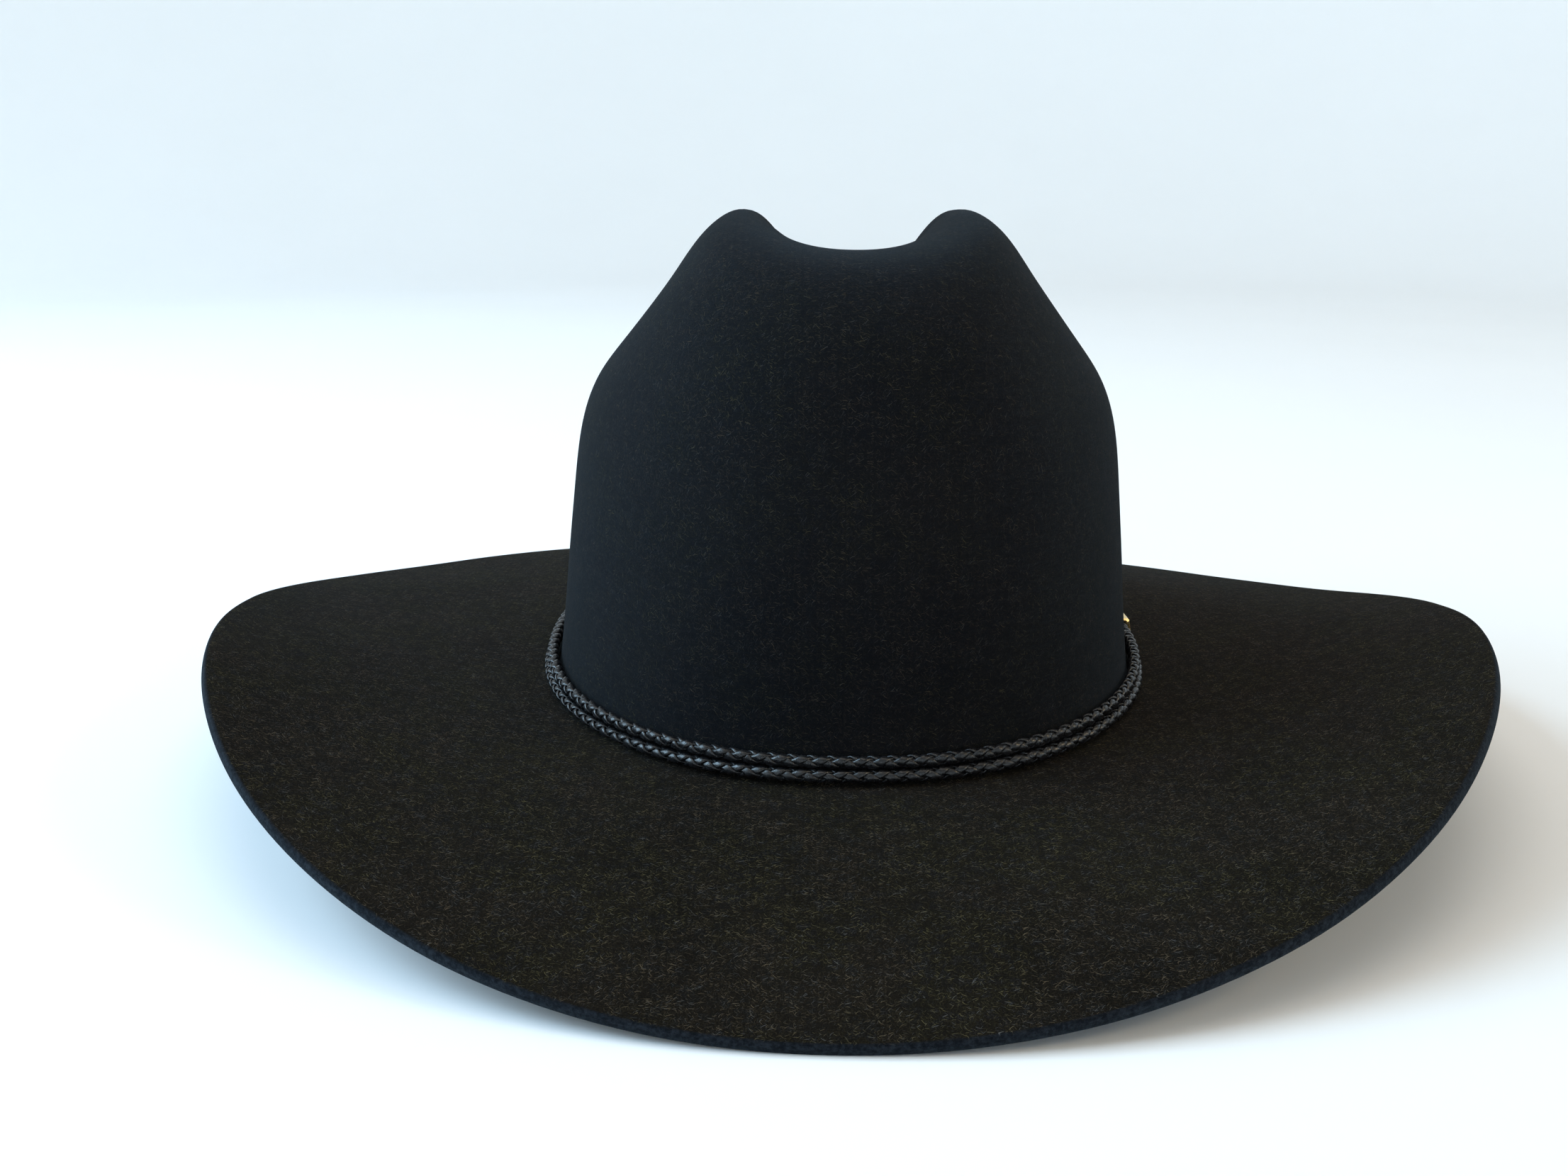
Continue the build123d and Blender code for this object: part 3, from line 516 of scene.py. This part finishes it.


def felt_body():
    """Crown and brim in one piece of felt, with a rounded raw edge."""
    outer = OUTER.copy()
    rows = len(outer)
    inside = surface_normals(outer)
    for i in range(rows):
        depth = FELT_WAVE_BRIM if i < BRIM_END else FELT_WAVE_CROWN
        for j in range(len(ANGLES)):
            outer[i, j] += inside[i, j] * depth * noise.noise(Vector(outer[i, j] * FELT_WAVE_SCALE))
    thickness = np.full(rows, FELT_CROWN)
    thickness[:BRIM_END] = np.linspace(FELT_EDGE, FELT_BRIM, BRIM_END)
    thickness[BRIM_END:CROWN_START] = np.linspace(FELT_BRIM, FELT_CROWN, CROWN_START - BRIM_END)
    inner = outer + inside * thickness[:, None, None]
    keep = np.r_[0:BRIM_END:2, BRIM_END:CROWN_START + 1, CROWN_START + 3:rows:3]
    outward = np.concatenate([oval_normal(ANGLES), np.zeros((len(ANGLES), 1))], -1)
    middle = (outer[0] + inner[0]) / 2
    half = (outer[0] - inner[0]) / 2
    lip = []
    for turn in np.radians(LIP_TURNS):
        bulge = LIP_START + LIP_REACH * math.cos(turn) ** 0.6
        lip.append(middle + half * math.sin(turn) * LIP_SWELL + outward * bulge)
    rings = np.concatenate([outer[::-1], np.array(lip), inner[keep]])
    count = len(ANGLES)
    top = outer[-1].mean(0) * [1, 1, 0] + [0, 0, outer[-1, :, 2].mean()]
    low = inner[-1].mean(0) * [1, 1, 0] + [0, 0, inner[keep[-1], :, 2].mean()]
    points = np.concatenate([rings.reshape(-1, 3), [top, low]])
    faces = grid_faces(len(rings), count)
    faces += fan_faces(len(points) - 2, 0, count, flip=True)
    faces += fan_faces(len(points) - 1, (len(rings) - 1) * count, count)
    # Nap and painted light down the outside: 1 on the brim, for its full nap and warm painted-light tint,
    # falling to the crown's value for its sparser nap and mostly cool painted-light tint.
    outer_nap_and_painted_light = np.concatenate([np.full(BRIM_END, 1.0), np.linspace(1, CROWN_NAP_AND_PAINTED_LIGHT, CROWN_START - BRIM_END),
                                np.full(rows - CROWN_START, CROWN_NAP_AND_PAINTED_LIGHT)])
    nap_and_painted_light = np.concatenate([outer_nap_and_painted_light[::-1], np.full(len(lip), 0.5), outer_nap_and_painted_light[keep] * INSIDE_NAP_AND_PAINTED_LIGHT])
    cut = np.concatenate([np.zeros(rows), [0.7, 1, 1, 1, 1, 0.7], np.zeros(len(keep))])
    grain = np.concatenate([grain_of(outer)[::-1], grain_of(np.array(lip), 300), grain_of(inner[keep], 400)])
    attributes = {
        "grain": np.concatenate([grain.reshape(-1, 3), [[0, 0, 250], [0, 0, 650]]]),
        "nap_and_painted_light": np.concatenate([np.repeat(nap_and_painted_light, count), [CROWN_NAP_AND_PAINTED_LIGHT, 0.35]]),
        "cut": np.concatenate([np.repeat(cut, count), [0, 0]]),
    }
    return make_object("felt_hat", to_frame(points), faces, FELT, "hat", ["felt_body"],
                       attributes=attributes)


felt_body()


# ---- hatband -----------------------------------------------------------------------------------


def band_frame(along, out, up):
    """Centre, outward and tangent vectors along the band, by length from the hinge bar."""
    start = np.interp(math.radians(BUCKLE_ANGLE), FINE_ANGLES, ARC)
    angle = np.interp((start + along) % ARC[-1], ARC, FINE_ANGLES)
    centre = ring(angle, out, up)
    normal = np.concatenate([oval_normal(angle), np.zeros((len(angle), 1))], -1)
    tangent = np.stack([-normal[:, 1], normal[:, 0], np.zeros(len(angle))], -1)
    return centre, normal, tangent


BRAID_PITCH = 10.2          # length of one full turn of a strand
BRAID_STRANDS = 4
BRAID_STEPS = 18            # rings of points to a turn
UPPER_PHASE, LOWER_PHASE = 0.03, 0.48   # radians, so the two cords don't match scale for scale
CORE_RADIUS, CORE_SIDES = 0.85, 8
STRAND_HALF_WIDTH = 1.34
STRAND_HALF_THICK = 0.36
STRAND_RING = 1.13          # middle radius of the strands
STRAND_WEAVE = 0.33         # how far a strand moves out and in as it crosses the others
STRAND_SIDES = 10
STRAND_ROUNDNESS = 0.8      # 1 is an ellipse, less is squarer


def braided_cord(name, node, out, up, phase):
    """A round four-strand leather braid: two strands wind each way, over one and under one."""
    first = FRONT_CAP_AT + CAP_LENGTH - CAP_CORD_DEPTH
    last = ARC[-1] + REAR_CAP_AT - CAP_LENGTH + CAP_CORD_DEPTH
    steps = int((last - first) / BRAID_PITCH * BRAID_STEPS)
    along = np.linspace(first, last, steps)
    centre, normal, tangent = band_frame(along, out, up)
    rise = np.zeros_like(normal)
    rise[:, 2] = 1
    core = tube_points(centre, normal, rise, CORE_RADIUS, CORE_SIDES)
    points, faces = [core.reshape(-1, 3)], grid_faces(steps, CORE_SIDES)
    for strand in range(BRAID_STRANDS):
        hand = 1 if strand % 2 == 0 else -1
        turn = 2 * math.pi * along / BRAID_PITCH * hand + math.pi * (strand // 2) + phase
        if hand < 0:
            turn = turn + math.pi / 2
        wave = hand * np.sin(4 * math.pi * along / BRAID_PITCH)
        radius = STRAND_RING + STRAND_WEAVE * wave
        radial = normal * np.cos(turn)[:, None] + rise * np.sin(turn)[:, None]
        spin = 2 * math.pi * STRAND_RING / BRAID_PITCH * hand
        sideways = np.cross(radial, tangent)
        lead = tangent + sideways * spin
        lead /= np.linalg.norm(lead, axis=1, keepdims=True)
        across = np.cross(lead, radial)
        loops = []
        for k in range(STRAND_SIDES):
            a = 2 * math.pi * k / STRAND_SIDES
            flat = across * STRAND_HALF_WIDTH * power(np.array(math.cos(a)), STRAND_ROUNDNESS)
            axial = (flat * tangent).sum(1, keepdims=True) * tangent
            round_part = radial * radius[:, None] + flat - axial
            length = np.linalg.norm(round_part, axis=1, keepdims=True)
            lift = STRAND_HALF_THICK * power(np.array(math.sin(a)), STRAND_ROUNDNESS)
            loops.append(centre + axial + round_part / length * (radius[:, None] + lift))
        start = sum(len(p) for p in points)
        points.append(np.stack(loops, 1).reshape(-1, 3))
        faces += grid_faces(steps, STRAND_SIDES, start=start)
        faces.append([start + k for k in range(STRAND_SIDES)][::-1])
        faces.append([start + (steps - 1) * STRAND_SIDES + k for k in range(STRAND_SIDES)])
    return make_object(name, to_frame(np.concatenate(points)), faces, CORD_LEATHER, "hatband",
                       [node])


braided_cord("cord_upper", "band_cord_upper", UPPER_OUT, UPPER_UP, UPPER_PHASE)
braided_cord("cord_lower", "band_cord_lower", LOWER_OUT, LOWER_UP, LOWER_PHASE)

# ---- lining, ribbon and tape -------------------------------------------------------------------

LINING_FOLDS = 58           # gathers round the hat
FREE_ROWS = 6               # rings of the side lining that the leather keeps flat
SIDE_FOLD_DEPTH, TIP_FOLD_DEPTH = 0.7, 0.55
PIPING_SIDES = 14
PIPING_GRAIN = (1.6, 0.49)  # millimetres of cloth from point to point, along the piping and round it
BOW_REACH, BOW_RISE, BOW_WAIST, BOW_DEPTH = 13.0, 5.0, 1.7, 0.62   # half length, half heights, half depth
BOW_STEPS, BOW_COLUMNS, BOW_THICK = 96, 9, 0.28
PLEAT_DEPTH = 0.13
WRAP_DEPTH, WRAP_HEIGHT, WRAP_WIDTH = 1.15, 2.45, 2.2              # half measures
WRAP_STEPS, WRAP_THICK, WRAP_BULGE = 48, 0.3, 0.25


def shell(name, outer, inner, material, node, grain, closed_round=True):
    """A thin closed piece between two grids of rings, with woven texture space in millimetres."""
    rows, columns = outer.shape[:2]
    if closed_round:
        points = np.concatenate([outer, inner[::-1]])
        faces = grid_faces(2 * rows, columns, wrap_rows=True)
        cloth = np.concatenate([grain, grain[::-1]])
    else:
        points = np.concatenate([outer, inner[:, ::-1]], 1)
        faces = grid_faces(rows, 2 * columns)
        cloth = np.concatenate([grain, grain[:, ::-1]], 1)
        first = list(range(2 * columns))
        last = [(rows - 1) * 2 * columns + k for k in first]
        faces += [first[::-1], last]
    return make_object(name, to_frame(points.reshape(-1, 3)), faces, material, "hat", node,
                       attributes={"grain": cloth.reshape(-1, 3)})


def wall_points(up, inset):
    """A ring inside the crown wall, at a height above the break and a depth from the felt's outside."""
    walls = OUTER[CROWN_START:CROWN_START + 50]
    ring_points = ring(ANGLES, 0.0, up)
    for j in range(len(ANGLES)):
        ring_points[j, :2] = [np.interp(ring_points[j, 2], walls[:, j, 2], walls[:, j, k]) for k in (0, 1)]
    ring_points[:, :2] -= oval_normal(ANGLES) * inset
    return ring_points


def lining_base():
    """The side lining's outer face: it starts behind the leather and follows the felt up to the seam."""
    behind = [wall_points(up, FELT_CROWN + LINING_TUCK) for up in np.linspace(LINING_LOW, LINING_CLEAR, 5)]
    shares = np.linspace(LINING_LOW_SHARE, LINING_TOP_SHARE, 30)
    crown = crown_rings(ANGLES, np.append(shares, LINING_TOP_SHARE + 0.007))
    crown = crown + surface_normals(crown) * (FELT_CROWN + LINING_GAP)
    return np.concatenate([behind, crown[:-1]])


def gathers(angle, seed, folds):
    """Soft uneven folds round the lining, from 0 to 1."""
    wander = [2.2 * noise.noise(Vector((math.cos(t) * 3, math.sin(t) * 3, seed))) for t in angle]
    height = [0.6 + 0.8 * noise.noise(Vector((math.cos(t) * 7, math.sin(t) * 7, seed + 5))) for t in angle]
    return np.clip(height, 0.1, 1.0) * (0.5 + 0.5 * np.sin(folds * angle + np.array(wander) * 3))


def round_grain(rings):
    """Texture space for cloth that runs round the hat: millimetres round and millimetres up."""
    middle = rings[len(rings) // 2]
    step = np.linalg.norm(np.roll(middle, -1, axis=0) - middle, axis=1)
    length = np.concatenate([[0], np.cumsum(step)[:-1]])
    rise = np.concatenate([np.zeros((1, rings.shape[1])),
                           np.cumsum(np.linalg.norm(np.diff(rings, axis=0), axis=-1), 0)])
    return np.stack([np.tile(length, (len(rings), 1)), rise, np.zeros_like(rise)], -1)


def side_lining():
    """The satin side band, and the line of its upper seam."""
    outer = lining_base()
    gather = np.concatenate([np.zeros(FREE_ROWS), np.linspace(0, 1, len(outer) - FREE_ROWS) ** 1.4])
    folds = gathers(ANGLES, 2.0, LINING_FOLDS)
    push = surface_normals(outer)
    back = outer + push * (SIDE_FOLD_DEPTH * gather[:, None] * folds[None])[..., None]
    inner = back + push * LINING_THICK
    band = shell("lining_side_satin", back, inner, SATIN, ["lining_side"], round_grain(outer))
    return outer[-1] + push[-1] * LINING_THICK - [0, 0, SEAM_DROP]


def tip_lining(seam):
    """The domed satin oval inside the crown's top, gathered at its edge."""
    shares = np.linspace(1.0, 0.04, 40)[:, None, None]
    middle = np.array([0, 0, LINING_MIDDLE])
    flat = seam[None, :, :2] * shares * SEAM_SHARE
    height = seam[None, :, 2:] * shares ** 2 + LINING_MIDDLE * (1 - shares ** 2)
    folds = gathers(ANGLES, 9.0, LINING_FOLDS)[None, :, None]
    near_edge = np.clip((shares - 0.72) / 0.2, 0, 1)
    held_edge = np.clip((1.02 - shares) / 0.06, 0.3, 1)
    loose = TIP_FOLD_DEPTH * near_edge * held_edge * folds
    top = np.concatenate([flat, height + loose], -1)
    low = np.concatenate([flat, height + loose - LINING_THICK], -1)
    count = len(ANGLES)
    grid = np.concatenate([top[::-1], low])
    points = np.concatenate([grid.reshape(-1, 3), [middle, middle - [0, 0, LINING_THICK]]])
    faces = grid_faces(len(grid), count, flip=True)
    faces += fan_faces(len(points) - 2, 0, count)
    faces += fan_faces(len(points) - 1, (len(grid) - 1) * count, count, flip=True)
    tip = make_object("lining_tip_satin", to_frame(points), faces, SATIN, "hat", ["lining_tip"],
                      attributes={"grain": points})


def seam_piping(seam):
    """A satin-covered cord over the seam between the side lining and the tip."""
    count = len(ANGLES)
    drop = SEAM_DROP + LINING_THICK + 0.1 + PIPING_RADIUS
    centre = seam * [SEAM_SHARE, SEAM_SHARE, 1] - [0, 0, drop]
    outward = np.concatenate([oval_normal(ANGLES), np.zeros((count, 1))], -1)
    centre -= outward * (PIPING_RADIUS - PIPING_OVER)
    rise = np.tile([0.0, 0.0, 1.0], (count, 1))
    tube = tube_points(centre, outward, rise, PIPING_RADIUS, PIPING_SIDES)
    along = np.tile(np.arange(count)[:, None] * PIPING_GRAIN[0], (1, PIPING_SIDES))
    around = np.tile(np.arange(PIPING_SIDES) * PIPING_GRAIN[1], (count, 1))
    grain = np.stack([along, around, np.zeros((count, PIPING_SIDES))], -1)
    make_object("lining_piping_satin", to_frame(tube.reshape(-1, 3)),
                grid_faces(count, PIPING_SIDES, wrap_rows=True, flip=True), SATIN, "hat",
                ["lining_piping"], attributes={"grain": grain.reshape(-1, 3)})


def node_centre(node):
    low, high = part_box(node)
    return np.array((low + high) / 2) / MM - SHIFT


def strip_ring(path, normal, half, columns, thick, side):
    """A closed band of ribbon: a looped path, its normals and its half width at each point."""
    spread = np.linspace(-1, 1, columns)
    face = path[:, None] + side * (spread[None, :, None] * half[:, None, None])
    outer = face + normal[:, None] * thick / 2
    inner = face - normal[:, None] * thick / 2
    return np.concatenate([outer, inner[:, ::-1]], 1)


def loop_normals(path, plane):
    """Unit normals of a closed flat path, which lies in the plane of two of the axes."""
    first, second = plane
    ahead = np.roll(path, -1, axis=0) - np.roll(path, 1, axis=0)
    normal = np.zeros_like(ahead)
    normal[:, first], normal[:, second] = ahead[:, second], -ahead[:, first]
    return normal / np.linalg.norm(normal, axis=1, keepdims=True)


def ribbon_piece(name, path, strip, across, node, flip=False):
    """A ribbon mesh from its closed strip, with woven texture space in millimetres."""
    steps, columns = strip.shape[:2]
    span = np.concatenate([[0], np.cumsum(np.linalg.norm(np.diff(path, axis=0), axis=1))])
    grain = np.stack([np.tile(span[:, None], (1, columns)), np.tile(across, (steps, 1)),
                      np.zeros((steps, columns))], -1)
    faces = grid_faces(steps, columns, wrap_rows=True, flip=flip)
    return make_object(name, to_frame(strip.reshape(-1, 3)), faces, RIBBON, "hat", [node],
                       attributes={"grain": grain.reshape(-1, 3)})


def bow_loops(centre):
    """The bow's two flat loops, pleated where the wrap holds them."""
    turn = np.arange(BOW_STEPS) / BOW_STEPS * 2 * math.pi
    share = np.abs(np.cos(turn))
    x = BOW_REACH * power(np.cos(turn), 0.9)
    depth = BOW_DEPTH * power(np.sin(turn), 0.7) * (0.55 + 0.9 * share ** 2 * (1 - share ** 6) ** 0.5)
    path = centre + np.stack([x, depth, np.zeros(BOW_STEPS)], -1)
    normal = loop_normals(path, (0, 1))
    half = BOW_WAIST + (BOW_RISE - BOW_WAIST) * np.clip(share / 0.62, 0, 1) ** 0.7
    strip = strip_ring(path, normal, half, BOW_COLUMNS, BOW_THICK, np.array([0.0, 0.0, 1.0]))
    pleat = np.cos(np.linspace(-1, 1, BOW_COLUMNS) * 9)
    pinched = np.clip(1 - share / 0.5, 0, 1)[:, None, None]
    pleats = np.concatenate([pleat, pleat[::-1]])[None, :, None] * pinched
    strip = strip + normal[:, None] * pleats * PLEAT_DEPTH
    edge = np.linspace(-BOW_RISE, BOW_RISE, BOW_COLUMNS)
    across = np.concatenate([edge, edge[::-1]])
    return ribbon_piece("bow_ribbon_loops", path, strip, across, "bow_ribbon", flip=True)


def bow_wrap(centre):
    """The short ribbon wrapped round the bow's middle."""
    turn = np.arange(WRAP_STEPS) / WRAP_STEPS * 2 * math.pi
    y, z = WRAP_DEPTH * power(np.cos(turn), 0.6), WRAP_HEIGHT * power(np.sin(turn), 0.6)
    path = centre + np.stack([np.zeros(WRAP_STEPS), y, z], -1)
    normal = loop_normals(path, (1, 2))
    columns = 5
    strip = strip_ring(path, normal, np.full(WRAP_STEPS, WRAP_WIDTH), columns, WRAP_THICK,
                       np.array([1.0, 0.0, 0.0]))
    bulge = np.array([0, 0.5, 0.7, 0.5, 0])
    strip = strip + normal[:, None] * np.tile(bulge, 2)[None, :, None] * WRAP_BULGE
    edge = np.linspace(-2, 2, columns)
    return ribbon_piece("bow_ribbon_wrap", path, strip, np.concatenate([edge, edge[::-1]]), "bow_knot")


def ribbon_bow():
    """The small flat bow that marks the rear of the sweatband."""
    centre = node_centre("bow_ribbon")
    loops = bow_loops(centre)
    wrap = bow_wrap(centre)


def join_tape():
    """The cloth tape behind the sweatband's join."""
    inset = FELT_CROWN + (SWEATBAND_GAP - TAPE_THICK) / 2
    near = np.arange(-5, 6)
    lowest = wall_points(TAPE_LOW, inset)
    columns = np.linspace(-1, 1, 9) * TAPE_WIDTH / 2 / np.linalg.norm(lowest[1] - lowest[0])
    faces = []
    for depth in (inset, inset + TAPE_THICK):
        rings = [wall_points(up, depth) for up in np.linspace(TAPE_LOW, TAPE_LOW + TAPE_HEIGHT, 9)]
        faces.append(np.array([np.stack([np.interp(columns, near, points[near, k]) for k in range(3)], -1)
                               for points in rings]))
    outer, inner = faces
    grain = np.stack([outer[..., 0], outer[..., 2], np.zeros(outer.shape[:2])], -1)
    tape = shell("sweatband_tape_cloth", outer, inner, TAPE, ["sweatband_tape"], grain, False)


SEAM = side_lining()
tip_lining(SEAM)
seam_piping(SEAM)
ribbon_bow()
join_tape()

# ---- looks for the frame's own parts --------------------------------------------------------------

CAD_LOOKS = {
    "sweatband": SWEAT_LEATHER, "sweatband_reed": REED, "sweatband_stitches": THREAD,
    "sweatband_join_stitches": THREAD, "tip_protector": CLEAR,
    "band_cap_front": BRASS, "band_cap_rear": BRASS, "buckle_frame": BRASS, "buckle_prong": BRASS,
    "buckle_strap": STRAP_LEATHER, "billet": STRAP_LEATHER, "band_keeper": STRAP_LEATHER,
}
ROUNDED_EDGES = {"band_cap_front": 0.28, "band_cap_rear": 0.28, "buckle_strap": 0.3, "billet": 0.25,
                 "band_keeper": 0.15}                              # millimetres
BEVEL_SEGMENTS = 3
BEVEL_ANGLE = 28            # degrees between faces: flatter edges stay as they are


def dress_cad_nodes():
    """Materials on the frame's own meshes, and a small round on the leather's and the caps' edges."""
    for node, look in CAD_LOOKS.items():
        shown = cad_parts[node]
        shown.data.materials.clear()
        shown.data.materials.append(look)
        if node in ROUNDED_EDGES:
            rounding = shown.modifiers.new("rounded_edges", "BEVEL")
            rounding.width = ROUNDED_EDGES[node] * MM
            rounding.segments = BEVEL_SEGMENTS
            rounding.limit_method = "ANGLE"
            rounding.angle_limit = math.radians(BEVEL_ANGLE)


dress_cad_nodes()

# ---- stage, light and camera ---------------------------------------------------------------------


def stage():
    """A pale round floor that sweeps up into a pale wall all the way round."""
    n = Nodes("stage")
    spots = n.noise(n.position(), 6.0, 3.0, 0.5)
    n.set(Base_Color=n.mix(spots, (0.87, 0.865, 0.86, 1), (0.90, 0.895, 0.89, 1)), Roughness=0.85)
    radius, height, sweep, count = 2.2, 1.5, 0.7, 96
    turns = np.radians(np.linspace(0, 90, 16))
    profile = [(r, 0.0) for r in (0.3, 0.8, radius - sweep)]
    profile += [(radius - sweep + sweep * math.sin(t), sweep * (1 - math.cos(t))) for t in turns[1:]]
    profile.append((radius, height))
    around = np.arange(count) / count * 2 * math.pi
    rings = [np.stack([r * np.cos(around), r * np.sin(around), np.full(count, z)], -1) for r, z in profile]
    points = np.concatenate([[[0, 0, 0]]] + rings)
    faces = fan_faces(0, 1, count) + grid_faces(len(profile), count, start=1, flip=True)
    mesh = bpy.data.meshes.new("stage_floor")
    mesh.from_pydata(points.tolist(), [], faces)
    mesh.polygons.foreach_set("use_smooth", [True] * len(faces))
    mesh.materials.append(n.material)
    floor = bpy.data.objects.new("stage_floor", mesh)
    bpy.context.scene.collection.objects.link(floor)


def area_light(name, place, target, size, energy, colour):
    data = bpy.data.lights.new(name, "AREA")
    data.shape = "RECTANGLE"
    data.size, data.size_y = size
    data.energy = energy
    data.color = colour
    lamp = bpy.data.objects.new(name, data)
    bpy.context.scene.collection.objects.link(lamp)
    lamp.location = place
    lamp.rotation_euler = (Vector(target) - Vector(place)).to_track_quat("-Z", "Y").to_euler()


def lights():
    """Cool window light from the left, a weak warm lamp at the right, and a sky to match."""
    world = bpy.data.worlds.new("studio")
    world.use_nodes = True
    sky = world.node_tree
    side = sky.nodes.new("ShaderNodeSeparateXYZ")
    sky.links.new(sky.nodes.new("ShaderNodeTexCoord").outputs["Generated"], side.inputs["Vector"])
    across = sky.nodes.new("ShaderNodeValToRGB")
    across.color_ramp.elements[0].color = (0.82, 0.92, 1.0, 1)
    across.color_ramp.elements[1].color = (0.24, 0.20, 0.15, 1)
    spread = sky.nodes.new("ShaderNodeMapRange")
    spread.inputs["From Min"].default_value = -0.9
    spread.inputs["From Max"].default_value = 0.9
    sky.links.new(side.outputs["X"], spread.inputs["Value"])
    sky.links.new(spread.outputs["Result"], across.inputs["Fac"])
    sky.links.new(across.outputs["Color"], sky.nodes["Background"].inputs["Color"])
    sky.nodes["Background"].inputs["Strength"].default_value = 0.62
    bpy.context.scene.world = world
    area_light("window_left", (-1.5, -0.1, 1.1), (0, 0, 0.08), (1.2, 1.4), 46.0, (0.52, 0.78, 1.0))
    area_light("room_right", (1.6, -0.5, 1.2), (0, 0, 0.05), (0.5, 0.5), 7.0, (1.0, 0.80, 0.50))
    area_light("ceiling", (0.0, 0.1, 1.9), (0, 0, 0), (1.6, 1.6), 12.0, (1.0, 0.92, 0.80))


# The camera looks at the hat's rear, from a little above the crown.
SENSOR_WIDTH = 36.0
FOCAL_SHARE = 1.0456        # focal length over the picture's width
CAMERA_BACK = 498.1         # millimetres behind the hat's middle
CAMERA_LEFT = 12.3
CAMERA_HEIGHT = 182.8
CAMERA_DOWN, CAMERA_TURN, CAMERA_ROLL = 0.2767, 0.0120, 0.0018     # radians


def camera():
    data = bpy.data.cameras.new("camera")
    data.sensor_width = SENSOR_WIDTH
    data.lens = SENSOR_WIDTH * FOCAL_SHARE
    data.clip_start = 0.01
    eye = bpy.data.objects.new("camera", data)
    bpy.context.scene.collection.objects.link(eye)
    eye.location = (-CAMERA_LEFT * MM, -CAMERA_BACK * MM, CAMERA_HEIGHT * MM)
    turn = Matrix.Rotation(CAMERA_TURN, 4, "Z")
    tilt = Matrix.Rotation(math.pi / 2 - CAMERA_DOWN, 4, "X")
    roll = Matrix.Rotation(CAMERA_ROLL, 4, "Z")
    eye.rotation_euler = (turn @ tilt @ roll).to_euler()
    bpy.context.scene.camera = eye


stage()
lights()
camera()
bpy.context.scene.view_settings.view_transform = "Standard"
